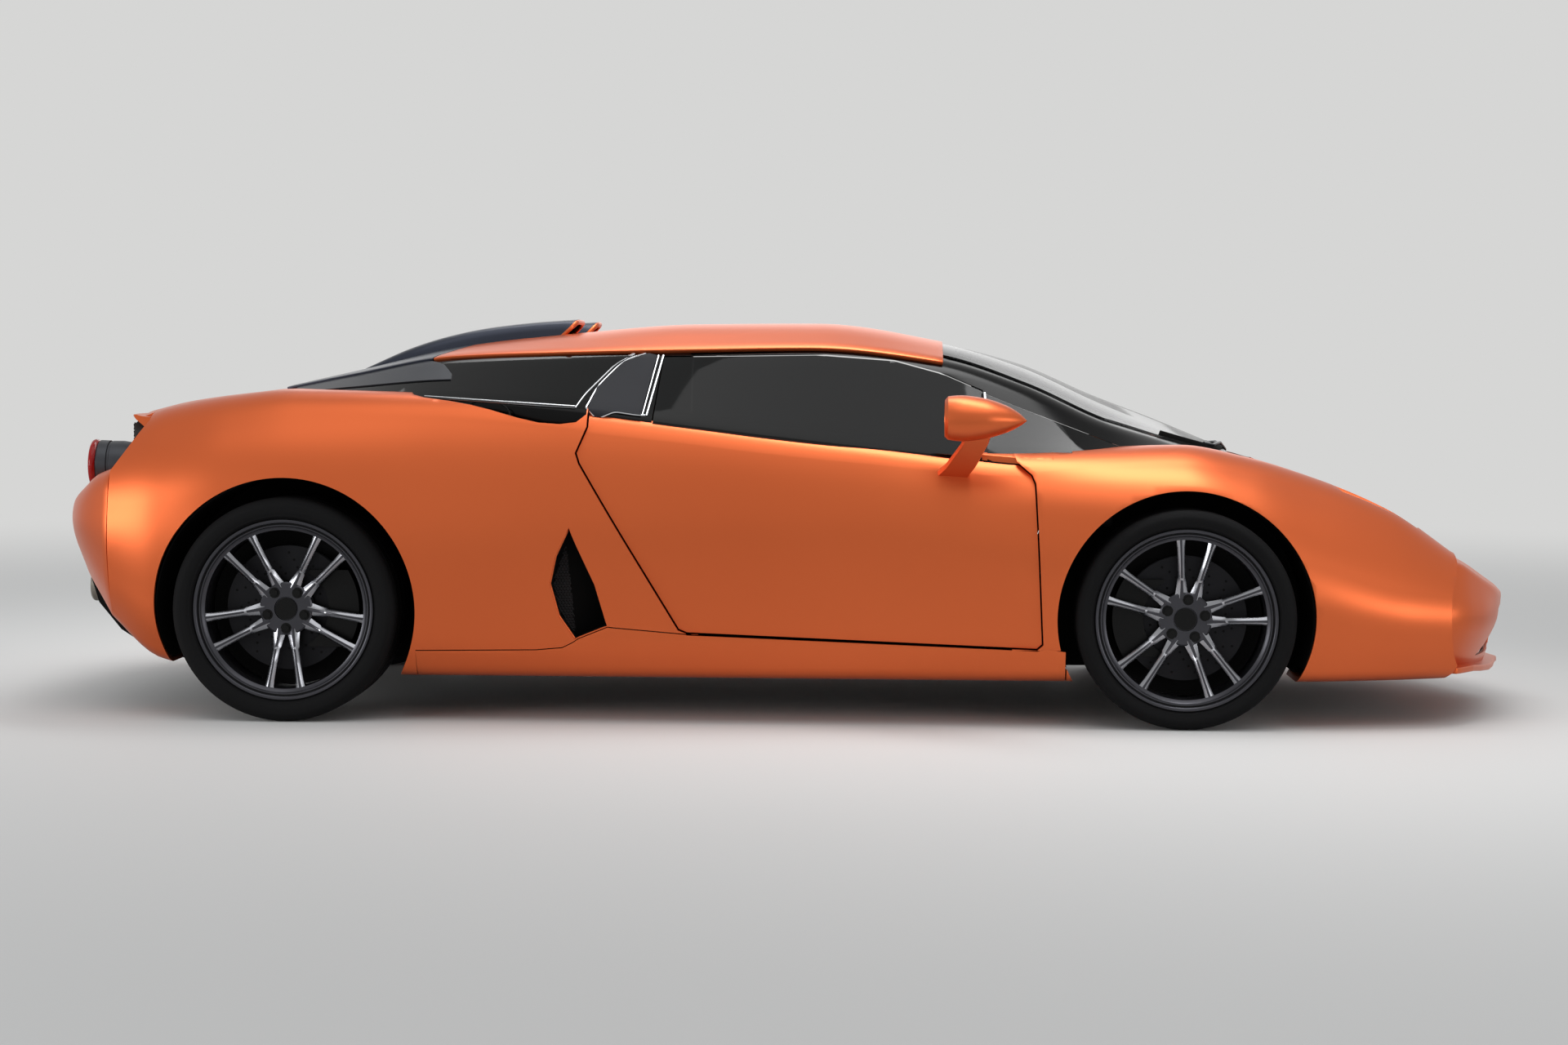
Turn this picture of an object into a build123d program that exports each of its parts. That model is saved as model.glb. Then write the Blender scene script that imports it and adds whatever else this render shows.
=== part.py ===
# Mid-engined two-seat supercar, full size, millimetres.
# Worked in x forward from the middle of the wheelbase, y to the left, z up from the road.
# Every piece is moved back by record_shift as it is written, so the box round the car is centred on x = 0.
from build123d import *
import math
import os

os.makedirs("parts", exist_ok=True)

# Driving dimensions
wheelbase = 2560.0
front_overhang = 1050.0
rear_overhang = 730.0
front_wheel_y = 811.0
rear_wheel_y = 796.0
front_tyre_radius = 312.0
rear_tyre_radius = 320.0
front_tyre_width = 235.0
rear_tyre_width = 295.0
bead_radius = 242.0
rim_lip_radius = 258.0
kingpin_inset = 45.0
hub_bore_radius = 30.0
hinge_bore_radius = 2.0
knuckle_radius = 4.5
cover_hinge_x = -557.5
cover_hinge_z = 1096.0
running_clearance = 0.05
ball_seat_gap = 0.3
post_half_height = 130.0
arm_height = 24.0
front_arch_radius = 366.0
rear_arch_radius = 378.0
liner_thickness = 4.0
liner_inner_y = 532.0
skin_thickness = 25.0
door_thickness = 70.0
glass_thickness = 5.0
frame_thickness = 45.0
panel_gap = 5.0
moving_gap = 6.0
lid_rear_x = 1500.0
belt_rail_rear_x = 690.0
belt_rail_y = 832.0
belt_rail_z = 735.0
firewall_x = 1085.0
firewall_thickness = 20.0
door_inner_y = 770.0
floor_edge_y = 700.0
floor_top_z = 200.0
nose_seam_x = 2056.0
tail_seam_x = -1790.0
jack_pad_z = 130.0
jack_front_x = 780.0
jack_rear_x = -780.0
disc_radius = 178.0
disc_thickness = 30.0
bolt_circle = 112.0
spoke_pairs = 5
spoke_split_deg = 11.0

front_axle_x = wheelbase / 2
rear_axle_x = -wheelbase / 2
nose_x = front_axle_x + front_overhang
tail_x = rear_axle_x - rear_overhang
record_shift = -(nose_x + tail_x) / 2

# Lower body sections: x, bottom y z, waist y z, crest y z, deck y z
body_rows = [
    (-1800, 800, 300, 888, 510, 775, 812, 450, 858),
    (-1650, 840, 182, 925, 500, 772, 878, 450, 890),
    (-1280, 872, 146, 948, 510, 795, 928, 450, 935),
    (-850, 872, 144, 944, 510, 815, 922, 450, 930),
    (-240, 872, 144, 932, 470, 850, 868, 450, 880),
    (350, 872, 144, 928, 450, 855, 802, 450, 820),
    (900, 872, 144, 935, 440, 800, 772, 450, 790),
    (1280, 872, 146, 945, 430, 745, 790, 450, 780),
    (1640, 856, 148, 915, 380, 725, 703, 440, 694),
    (1880, 805, 150, 865, 330, 705, 608, 430, 602),
    (2070, 730, 152, 790, 315, 690, 474, 400, 482),
]
body_radii = (45, 260, 85, 0)

# Greenhouse sections: x, belt y z, rail y z, bubble y z, centre z
house_rows = [
    (-1340, 690, 900, 560, 935, 380, 944, 946),
    (-1143, 770, 915, 592, 978, 400, 992, 990),
    (-831, 800, 918, 612, 1036, 420, 1068, 1056),
    (-501, 822, 898, 622, 1050, 425, 1108, 1092),
    (-145, 838, 862, 632, 1060, 430, 1138, 1118),
    (223, 845, 815, 640, 1068, 430, 1140, 1120),
    (593, 838, 770, 645, 1030, 430, 1082, 1086),
    (823, 818, 752, 655, 962, 420, 1012, 1030),
    (1064, 770, 772, 650, 858, 400, 902, 930),
    (1254, 640, 775, 540, 806, 360, 824, 858),
    (1460, 420, 740, 360, 752, 220, 762, 772),
]
house_radii = (0, 0, 38, 150, 0)
house_foot = 120.0

# Nose and tail outlines, side view x z and plan view x y (left half)
nose_side = [(1900, 100), (2285, 100), (2316, 340), (2190, 428), (2060, 486), (1990, 560), (1900, 640)]
nose_plan = [(1900, 900), (2075, 770), (2217, 500), (2270, 300), (2318, 0)]
tail_side = [(-1650, 100), (-1700, 215), (-1823, 325), (-1960, 470), (-2008, 562), (-1952, 640)]
tail_side += [(-1945, 790), (-1900, 850), (-1700, 900), (-1500, 1000), (-1500, 100)]
tail_plan = [(-1500, 1000), (-1760, 930), (-1850, 850), (-1949, 650), (-1985, 450), (-2010, 0)]
splitter_plan = [(1800, 795), (2004, 770), (2130, 690), (2238, 500), (2290, 300), (2330, 0)]

# Panel outlines
door_outline = [(-450, 771), (-156, 264), (878, 224), (852, 692), (800, 752), (700, 1000), (-420, 1000), (-420, 840)]
door_window = [(706, 700), (706, 955), (600, 1000), (450, 1040), (223, 1056), (-222, 1048), (-238, 800)]
front_window = [(716, 700), (716, 944), (900, 872), (1118, 790), (1118, 700)]
rear_window = [(-315, 1042), (-400, 880), (-461, 860), (-899, 880), (-1285, 940), (-831, 1034)]
screen_plan = [(575, 560), (823, 590), (1064, 590), (1254, 490), (1452, 330), (1490, 0)]
lid_plan = [(lid_rear_x, 0), (lid_rear_x, 471), (1640, 450), (1985, 330), (2010, 0)]
cover_plan = [(-560, 0), (-560, 150), (-1130, 395), (-1300, 462), (-1300, 0)]
cover_opening = [(-555, 0), (-555, 153), (-1130, 402), (-1322, 477), (-1322, 0)]
lamp_plan = [(1690, 640), (1740, 710), (1960, 672), (1990, 560), (1880, 560)]
intake_outline = [(-465, 561), (-520, 401), (-450, 242), (-357, 280), (-439, 502)]


def grown(points, amount):
    # moves every edge of a closed anticlockwise outline outward by amount
    out = []
    count = len(points)
    for i in range(count):
        ax, ay = points[i - 1]
        bx, by = points[i]
        cx, cy = points[(i + 1) % count]
        first = math.hypot(bx - ax, by - ay)
        second = math.hypot(cx - bx, cy - by)
        nx, ny = (by - ay) / first, (ax - bx) / first
        mx, my = (cy - by) / second, (bx - cx) / second
        scale = amount / (1 + nx * mx + ny * my)
        out.append((bx + (nx + mx) * scale, by + (ny + my) * scale))
    return out


def wound(points):
    # the same outline, anticlockwise
    area = sum(points[i - 1][0] * points[i][1] - points[i][0] * points[i - 1][1] for i in range(len(points)))
    return list(points) if area > 0 else list(reversed(points))


def mirrored(half):
    # closes a half outline given at y >= 0 with its mirror image
    other = [(x, -y) for x, y in reversed(half) if y > 0]
    return wound(list(half) + other)


def side_prism(points, near, far, extra=0.0):
    face = Polygon(*grown(wound(points), extra), align=None)
    return extrude(Plane.XZ.offset(-far) * face, far - near)


def plan_prism(points, low, high, extra=0.0):
    face = Polygon(*grown(wound(points), extra), align=None)
    return extrude(Plane.XY.offset(low) * face, high - low)


def block(x0, x1, y0, y1, z0, z1):
    return Pos((x0 + x1) / 2, (y0 + y1) / 2, (z0 + z1) / 2) * Box(x1 - x0, y1 - y0, z1 - z0)


def tube(x, z, near, far, outer, inner=0.0):
    # a ring about a line along y
    ring = Circle(outer)
    if inner > 0:
        ring -= Circle(inner)
    return extrude(Plane.XZ.offset(-far) * Pos(x, z) * ring, far - near)


def both(shape):
    return shape + mirror(shape, about=Plane.XZ)


def rounded(points, radii):
    # a closed face of straight edges joined by tangent arcs; radius 0 leaves the corner sharp
    count = len(points)
    corners = []
    for i in range(count):
        here = Vector(*points[i])
        back = (Vector(*points[i - 1]) - here).normalized()
        ahead = (Vector(*points[(i + 1) % count]) - here).normalized()
        if radii[i] <= 0:
            corners.append((here, None, here))
            continue
        half = math.acos(max(-1.0, min(1.0, back.dot(ahead)))) / 2
        reach = radii[i] / math.tan(half)
        centre = here + (back + ahead).normalized() * (radii[i] / math.sin(half))
        middle = centre + (here - centre).normalized() * radii[i]
        corners.append((here + back * reach, middle, here + ahead * reach))
    edges = []
    for i in range(count):
        start, middle, end = corners[i]
        if middle is not None:
            edges.append(Edge.make_three_point_arc(start, middle, end))
        edges.append(Edge.make_line(end, corners[(i + 1) % count][0]))
    return Face(Wire(edges))


def ring(x, corners, radii, inset):
    outline = grown(corners, -inset)
    rounds = [max(r - inset, 8.0) if r > 0 else 0.0 for r in radii]
    return Plane.YZ.offset(x) * rounded(outline, rounds)


def body_ring(row, inset, x=None):
    pairs = [(row[i], row[i + 1]) for i in (1, 3, 5, 7)]
    corners = pairs + [(-y, z) for y, z in reversed(pairs)]
    return ring(row[0] if x is None else x, corners, body_radii + body_radii[::-1], inset)


def house_ring(row, inset):
    x, belt_y, belt_z, rail_y, rail_z, bubble_y, bubble_z, centre_z = row
    half = [(belt_y, belt_z - house_foot), (belt_y, belt_z), (rail_y, rail_z), (bubble_y, bubble_z)]
    corners = half + [(0, centre_z)] + [(-y, z) for y, z in reversed(half)]
    radii = house_radii + house_radii[-2::-1]
    return ring(x, corners, radii, inset)


def body_solid(inset):
    core = loft([body_ring(row, inset) for row in body_rows])
    front = body_rows[-1]
    back = body_rows[0]
    nose = extrude(body_ring(front, inset), 300)
    nose &= side_prism(nose_side, -1000, 1000, -inset)
    nose &= plan_prism(mirrored(nose_plan), 0, 1200, -inset)
    tail = extrude(body_ring(back, inset), -300)
    tail &= side_prism(tail_side, -1000, 1000, -inset)
    tail &= plan_prism(mirrored(tail_plan), 0, 1200, -inset)
    return core + nose + tail


def house_solid(inset):
    return loft([house_ring(row, inset) for row in house_rows])


def write(shape, node):
    shape = Compound(list(shape.solids()))
    export_step(shape.moved(Location((record_shift, 0, 0))), "parts/" + node + ".step")
    box = shape.bounding_box()
    print(node, len(shape.solids()), "solids", round(shape.volume / 1e6, 2), "litres",
          [round(v) for v in (box.min.X, box.min.Y, box.min.Z, box.max.X, box.max.Y, box.max.Z)])


# Wheels, built about a y axle at the origin with the outer face toward +y
def tyre_shape(radius, width):
    half = width / 2
    seat = half - 16.4
    section = [(bead_radius + 0.5, -seat), (rim_lip_radius + 1.5, -seat), (rim_lip_radius + 5, -half + 8)]
    section += [(rim_lip_radius + 16, -half + 1)]
    section += [(radius - 28, -half), (radius - 6, -half + 14), (radius, -half + 30)]
    section += [(r, -w) for r, w in reversed(section)]
    face = Polygon(*wound(section), align=None)
    return revolve(Plane(origin=(0, 0, 0), x_dir=(1, 0, 0), z_dir=(0, 0, 1)) * face, Axis.Y)


def spoke(angle, inner, outer, half_width, low, high):
    bar = extrude(Plane.XZ.offset(-high) * Pos((inner + outer) / 2, 0) * Rectangle(outer - inner, 2 * half_width), high - low)
    return Rot(0, -angle, 0) * bar


def rim_shape(width, first_angle):
    half = width / 2
    seat = half - 15
    barrel = tube(0, 0, -seat, seat, bead_radius, bead_radius - 13)
    lips = tube(0, 0, seat - 1, seat + 5, rim_lip_radius, bead_radius - 13)
    lips += tube(0, 0, -seat - 5, -seat + 1, rim_lip_radius, bead_radius - 13)
    face = half - 55
    hub = tube(0, 0, face - 34, face, 78)
    spokes = []
    for pair in range(spoke_pairs):
        middle = first_angle + pair * 360 / spoke_pairs
        for side in (-1, 1):
            spokes.append(spoke(middle + side * spoke_split_deg, 60, bead_radius - 8, 12, face - 22, face + 6))
    shape = barrel + lips + hub
    for piece in spokes:
        shape += piece
    for pair in range(spoke_pairs):
        turn = math.radians(first_angle + pair * 360 / spoke_pairs)
        shape -= tube(bolt_circle / 2 * math.cos(turn), bolt_circle / 2 * math.sin(turn), face - 12, face + 20, 15)
    disc = tube(0, 0, face - 34 - disc_thickness - 12, face - 34 - 12, disc_radius, 20)
    carrier = tube(0, 0, face - 34 - 12 - disc_thickness - 6, face - 34, 76)
    bore = tube(0, 0, face - 34 - 12 - disc_thickness - 7, face - 34, hub_bore_radius)
    return shape + disc + carrier - bore


def disc_middle(width):
    return width / 2 - 55 - 34 - 12 - disc_thickness / 2


def caliper_shape(width, rear_side):
    # straddles the disc; rear_side is -1 behind the axle, +1 ahead of it
    middle = disc_middle(width)
    ringed = tube(0, 0, middle - 48, middle + 34, 205, 118)
    ringed &= Rot(0, 0, 0) * side_prism([(60 * rear_side, -110), (230 * rear_side, -110), (230 * rear_side, 110), (60 * rear_side, 110)], -300, 300)
    slot = tube(0, 0, middle - disc_thickness / 2 - 5, middle + disc_thickness / 2 + 5, disc_radius + 6)
    return ringed - slot


def upright_shape(width, rear_side):
    middle = disc_middle(width)
    top = middle - disc_thickness / 2 - 14
    body = tube(0, 0, top - 70, top, 62)
    pin = middle - disc_thickness / 2 - 31.5
    post = block(-35, 35, pin - 25, pin + 25, -post_half_height, post_half_height)
    bridge = side_prism([(40 * rear_side, -45), (165 * rear_side, -70), (165 * rear_side, 70), (40 * rear_side, 45)], top - 34, top - 2)
    return body + post + bridge + spindle(width) + caliper_shape(width, rear_side)


wheel_rows = [
    # name, axle x, wheel y, radius, width, first spoke angle, caliper side
    ("front", front_axle_x, front_wheel_y, front_tyre_radius, front_tyre_width, 83.0, -1),
    ("rear", rear_axle_x, rear_wheel_y, rear_tyre_radius, rear_tyre_width, 270.0, 1),
]


def arch_cut(radius, axle_x, hub_z, extra=0.0):
    return both(tube(axle_x, hub_z, liner_inner_y - extra, 1200, radius + extra))


def wheel_nodes():
    uprights = {}
    for name, axle_x, wheel_y, radius, width, first_angle, caliper_side in wheel_rows:
        tyre = tyre_shape(radius, width)
        # the spoke pattern is laid out as seen on the right-hand wheel
        rim_right = mirror(rim_shape(width, first_angle), about=Plane.XZ)
        rim_left = rim_shape(width, first_angle)
        upright = upright_shape(width, caliper_side)
        place = Pos(axle_x, wheel_y, radius)
        away = Pos(axle_x, -wheel_y, radius)
        write(place * tyre, "tyre_" + name + "_left")
        write(away * mirror(tyre, about=Plane.XZ), "tyre_" + name + "_right")
        write(place * rim_left, "rim_" + name + "_left")
        write(away * rim_right, "rim_" + name + "_right")
        uprights[name] = (place * upright, away * mirror(upright, about=Plane.XZ))
    write(uprights["front"][0], "knuckle_left")
    write(uprights["front"][1], "knuckle_right")
    write(uprights["rear"][0] + uprights["rear"][1], "rear_uprights")


def rear_upright_left():
    return Pos(rear_axle_x, rear_wheel_y, rear_tyre_radius) * upright_shape(rear_tyre_width, 1)


def liner_nodes():
    pieces = []
    rows = [(front_axle_x, front_tyre_radius, front_arch_radius, 868), (rear_axle_x, rear_tyre_radius, rear_arch_radius, 880)]
    for axle_x, hub_z, radius, reach in rows:
        shell = tube(axle_x, hub_z, liner_inner_y, reach, radius, radius - liner_thickness)
        wall = tube(axle_x, hub_z, liner_inner_y, liner_inner_y + liner_thickness, radius, 95)
        shell += wall
        shell &= block(axle_x - 600, axle_x + 600, 0, 1000, 172, 900)
        pieces.append(shell)
    return pieces


def spindle(width):
    # turns in the bore of the disc carrier
    middle = disc_middle(width)
    return tube(0, 0, middle - disc_thickness / 2 - 20, middle + disc_thickness / 2 + 8, hub_bore_radius - running_clearance)


def arm_pieces():
    # left-hand arms, which carry the ball joints above and below each post, and the subframe towers
    bars = []
    towers = []
    rows = [
        (front_axle_x, front_tyre_radius, front_wheel_y, front_tyre_width, ball_seat_gap),
        (rear_axle_x, rear_tyre_radius, rear_wheel_y, rear_tyre_width, 0.0),
    ]
    for axle_x, hub_z, wheel_y, width, seat_gap in rows:
        reach = wheel_y + disc_middle(width) - disc_thickness / 2 - 31.5 + 20
        near = post_half_height + seat_gap
        bars.append(block(axle_x - 18, axle_x + 18, 440, reach, hub_z + near, hub_z + near + arm_height))
        bars.append(block(axle_x - 18, axle_x + 18, 440, reach, hub_z - near - arm_height, hub_z - near))
        towers.append(block(axle_x - 60, axle_x + 60, 380, 440, 120, hub_z + near + arm_height + 10))
        towers.append(block(axle_x - 60, axle_x + 60, 0, 380, 120, 230))
    return bars, towers


def cover_hinge():
    # left-hand knuckle on the cover, and the knuckle with its pin that stands on the roof
    near, middle, far = 40.0, 60.0, 80.0
    pin_radius = hinge_bore_radius - running_clearance
    turning = tube(cover_hinge_x, cover_hinge_z, near, middle, knuckle_radius)
    turning += block(cover_hinge_x - 22, cover_hinge_x - 1, near, middle, cover_hinge_z - 14, cover_hinge_z)
    turning -= tube(cover_hinge_x, cover_hinge_z, near - 1, middle + 1, hinge_bore_radius)
    standing = tube(cover_hinge_x, cover_hinge_z, middle + ball_seat_gap, far, knuckle_radius)
    standing += block(cover_hinge_x + 1, cover_hinge_x + 22, middle + ball_seat_gap, far, cover_hinge_z - 14, cover_hinge_z)
    standing += tube(cover_hinge_x, cover_hinge_z, near, far, pin_radius)
    return turning, standing


def seat_shape(middle_y, cavity):
    base = side_prism([(-200, 120), (330, 120), (360, 330), (-120, 300), (-200, 300)], middle_y - 235, middle_y + 235)
    back = side_prism([(-215, 290), (-90, 290), (-262, 800), (-372, 800)], middle_y - 235, middle_y + 235)
    head = side_prism([(-365, 800), (-270, 800), (-300, 935), (-385, 935)], middle_y - 120, middle_y + 120)
    return (base + back + head) & cavity


def steering_wheel_shape():
    rim = Torus(178, 15)
    hub = Cylinder(55, 30)
    bars = Box(340, 34, 12) + Pos(0, -90, 0) * Box(34, 160, 12)
    column = Pos(0, 0, 60) * Cylinder(26, 120)
    wheel = rim + hub + bars + column
    return Pos(600, 370, 650) * Rot(0, 112, 0) * Rot(0, 0, 90) * wheel


def mirror_shape():
    outline = [(592, 0), (592, 46), (612, 62), (660, 66), (740, 46), (820, 0)]
    shell = revolve(Polygon(*wound(outline), align=None), Axis.X)
    shell = Pos(0, 1010, 874) * shell
    stalk = loft([
        Plane(origin=(592, 835, 690), x_dir=(1, 0, 0), z_dir=(0, 0.62, 0.78)) * Rectangle(92, 22),
        Plane(origin=(690, 1000, 822), x_dir=(1, 0, 0), z_dir=(0, 0.62, 0.78)) * Rectangle(66, 20),
    ])
    return shell + stalk


def lamp_tube(x0, x1, y, z, outer, inner=0.0):
    ring = Circle(outer)
    if inner > 0:
        ring -= Circle(inner)
    return extrude(Plane.YZ.offset(x0) * Pos(y, z) * ring, x1 - x0)


def build():
    wheel_nodes()
    outer = body_solid(0)
    inner = body_solid(skin_thickness)
    deep = loft([body_ring(row, door_thickness) for row in body_rows if -1300 < row[0] < 1300])
    house = house_solid(0)
    house_glass = house_solid(glass_thickness)
    house_skin = house_solid(skin_thickness)
    house_inner = house_solid(frame_thickness)
    left = block(-3000, 3000, 0, 1500, -100, 1500)
    front_cut = arch_cut(front_arch_radius, front_axle_x, front_tyre_radius)
    rear_cut = arch_cut(rear_arch_radius, rear_axle_x, rear_tyre_radius)
    wells = arch_cut(front_arch_radius, front_axle_x, front_tyre_radius, panel_gap)
    wells += arch_cut(rear_arch_radius, rear_axle_x, rear_tyre_radius, panel_gap)
    shell = outer - inner - front_cut - rear_cut
    cabin_cut = block(-430, 950, -765, 765, 600, 1300)

    # doors
    door_cut = side_prism(door_outline, door_inner_y - panel_gap, 1200, panel_gap)
    door = (outer - deep) & side_prism(door_outline, door_inner_y, 1200)
    rail_front_x = 905
    belt_rail = block(belt_rail_rear_x, rail_front_x, 700, belt_rail_y, belt_rail_z, 1000)
    rail_room = block(belt_rail_rear_x - moving_gap, rail_front_x + moving_gap, 700,
                      belt_rail_y + moving_gap, belt_rail_z - moving_gap, 1000)
    door -= rail_room
    write(door, "door_left")
    write(mirror(door, about=Plane.XZ), "door_right")
    fixed = (shell & left) - door_cut - cabin_cut
    belt_rail &= shell & door_cut
    seen = mirror_shape() - outer
    write(seen.solids().sort_by(Axis.Y)[-1], "mirror_left")
    write(mirror(seen.solids().sort_by(Axis.Y)[-1], about=Plane.XZ), "mirror_right")

    # front lid, its opening, and the lamps
    write(shell & plan_prism(mirrored(lid_plan), 450, 900), "front_lid")
    fixed -= plan_prism(mirrored(lid_plan), 400, 900, panel_gap)
    lamps = fixed & plan_prism(lamp_plan, 450, 900)
    write(both(lamps), "head_lamps")
    fixed -= plan_prism(lamp_plan, 450, 900)

    # floor, with the arms' and liners' places
    floor_zone = block(-1640, nose_seam_x, 0, floor_edge_y, 100, floor_top_z)
    pads = [block(x - 30, x + 30, 620, 680, jack_pad_z, 160) - outer for x in (jack_front_x, jack_rear_x)]
    bars, towers = arm_pieces()
    floor = (fixed & floor_zone) + pads[0] + pads[1]
    for bar in bars:
        floor -= bar
    write(both(floor), "floor_pan")
    fixed -= floor_zone

    # sill panel under the door and the intake
    sill_zone = side_prism([(-905, 100), (945, 100), (945, 222), (-905, 214)], 0, 1200)
    write(both(fixed & sill_zone), "side_sills")
    fixed -= sill_zone

    # nose with its mouth and splitter, and the mesh behind the mouth
    nose = fixed & block(nose_seam_x, 2500, 0, 1200, 0, 900)
    nose -= block(2100, 2500, 0, 560, 186, 322)
    splitter = plan_prism(mirrored(splitter_plan), 122, 152) & block(2000, 2400, 0, 1000, 0, 300)
    splitter -= outer
    write(both(nose) + both(splitter), "front_fascia")
    mouth = plan_prism(mirrored(nose_plan), 178, 330, -skin_thickness)
    mouth -= plan_prism(mirrored(nose_plan), 100, 400, -skin_thickness - 6)
    mouth &= block(2100, 2500, -600, 600, 0, 900)
    mouth &= inner
    fixed -= block(nose_seam_x, 2500, 0, 1200, 0, 900)

    # side intake behind the door
    intake = side_prism(intake_outline, 600, 1200)
    side_mesh = Pos(0, -12, 0) * (fixed & intake)
    fixed -= intake
    write(mouth + both(side_mesh), "grilles")

    # tail with lamps and exhaust tips
    tail = fixed & block(-2300, tail_seam_x, 0, 1200, 0, 1200)
    lamp = lamp_tube(-1946, -1820, 560, 716, 76)
    tip = lamp_tube(-1944, -1719, 470, 352, 46, 38)
    tail -= lamp_tube(-2100, -1800, 560, 716, 76)
    tail -= lamp_tube(-2100, -1700, 470, 352, 52)
    wedge = side_prism([(-1740, 850), (-1790, 840), (-1945, 856), (-1952, 872), (-1800, 884)], 0, 700) - outer
    write(both(tail), "rear_fascia")
    write(both(lamp), "tail_lamps")
    write(both(tip), "exhaust_tips")
    fixed -= block(-2300, tail_seam_x, 0, 1200, 0, 1200)

    # fenders, quarters and deck
    fender = fixed & block(800, nose_seam_x, 430, 1200, 0, 1200)
    write(fender, "front_fender_left")
    write(both(fixed & block(1950, nose_seam_x, 0, 430, 0, 1200)), "slam_panel")
    write(mirror(fender, about=Plane.XZ), "front_fender_right")
    quarter = fixed & block(tail_seam_x, 0, 600, 1200, 0, 1200)
    write(quarter, "rear_quarter_left")
    write(mirror(quarter, about=Plane.XZ), "rear_quarter_right")
    deck = fixed & block(tail_seam_x, -1330, 0, 600, 700, 1200)
    write(both(deck) + both(wedge), "rear_deck")

    # roof, rear shell with the two scoops, and the engine cover
    roof_zone = plan_prism([(-145, -800), (575, -800), (575, 800), (-145, 800)], 1045, 1300)
    door_windows = both(side_prism(door_window, 400, 1000))
    write(((house - house_skin) & roof_zone) - door_windows, "roof_panel")
    rear_zone = plan_prism([(-1340, -800), (-145, -800), (-145, 800), (-1340, 800)], 850, 1300)
    cover_prism = plan_prism(mirrored(cover_plan), 850, 1300)
    cover_gap = plan_prism(mirrored(cover_opening), 850, 1400)
    side_glass = side_prism(rear_window, 400, 1000) + side_prism(front_window, 400, 1000)
    windows = both(side_glass)
    upper = ((house - house_skin) & rear_zone) - door_windows
    scoop_side = [(-1150, 900), (-1150, 985), (-640, 1128), (-501, 1151), (-580, 1080), (-580, 900)]
    scoop = side_prism(scoop_side, 165, 470) - side_prism(scoop_side, 177, 458, -12)
    scoop -= block(-640, -400, 177, 458, 900, 1138)
    scoop = both(scoop - house - cover_gap)
    turning, standing = cover_hinge()
    write(upper - cover_gap - windows - outer + scoop + both(standing), "roof_scoops")
    write((upper & cover_prism) + both(turning), "engine_cover")

    # glass
    screen_zone = plan_prism(mirrored(screen_plan), 700, 1300)
    write(((house - house_glass) & screen_zone) - outer, "windscreen")
    glass = ((house - house_glass) & side_prism(door_window, 400, 1000, -moving_gap)) - outer
    write(glass, "door_glass_left")
    write(mirror(glass, about=Plane.XZ), "door_glass_right")
    write(((house - house_glass) & windows) - outer, "fixed_windows")

    # pillars, headers, cowl and bulkheads
    frame = house - house_inner
    frame -= (house - house_skin) & (roof_zone + rear_zone)
    frame -= windows
    frame -= screen_zone
    frame -= door_windows
    frame -= plan_prism([(-1400, -520), (-470, -520), (-470, 520), (-1400, 520)], 700, 1300)
    frame -= outer
    cowl = both(fixed & block(950, lid_rear_x - panel_gap, 0, 430, 600, 1200))
    bulkhead = (block(-462, -437, -760, 760, 120, 1200) & (inner + house_inner)) - shell
    firewall = block(firewall_x, firewall_x + firewall_thickness, -528, 528, 120, 1200) & inner
    write(frame + cowl + both(belt_rail) - bulkhead - firewall, "cabin_frame")
    write(Compound([bulkhead, firewall]), "bulkheads")

    # liners and suspension
    liners = []
    for piece in liner_nodes():
        for bar in bars:
            piece -= bar
        liners.append(both(piece & outer))
    write(liners[0] + liners[1], "wheel_liners")
    arms = [both(bar - rear_upright_left()) for bar in bars]
    arms += [both(tower & inner) for tower in towers]
    write(Compound(arms), "suspension_arms")

    # luggage tub under the lid, on two rails
    low_inner = Pos(0, 0, -20) * inner
    tub = block(1450, 1985, -531, 531, 300, 900) - block(1460, 1975, -521, 521, 310, 1000)
    tub = (tub & low_inner) - wells
    rails = both(block(1420, 2040, 300, 360, 120, 300)) & inner
    write(tub + rails, "luggage_tub")

    # engine and transaxle, silencer
    engine = block(-1060, -480, -330, 330, 240, 800) + block(-1640, -1060, -190, 190, 240, 560)
    silencer = block(-1719, -1640, -528, 528, 300, 420)
    mounts = both(block(-900, -700, 250, 310, 120, 240)) & inner
    write(engine + silencer + mounts, "engine_block")

    # interior
    cavity = inner - wells
    seats = seat_shape(370, inner + house_inner)
    write(both(seats), "seats")
    dash = side_prism([(690, 580), (780, 560), (1085, 560), (1085, 730), (790, 742), (690, 715)], -760, 760)
    dash &= cavity
    tunnel = block(-437, 1085, -95, 95, 120, 380) & inner
    write(dash + tunnel, "dashboard")
    write(steering_wheel_shape() - dash, "steering_wheel")


build()
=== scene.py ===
import math

import bmesh
import bpy
from mathutils import Matrix, Vector


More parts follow.
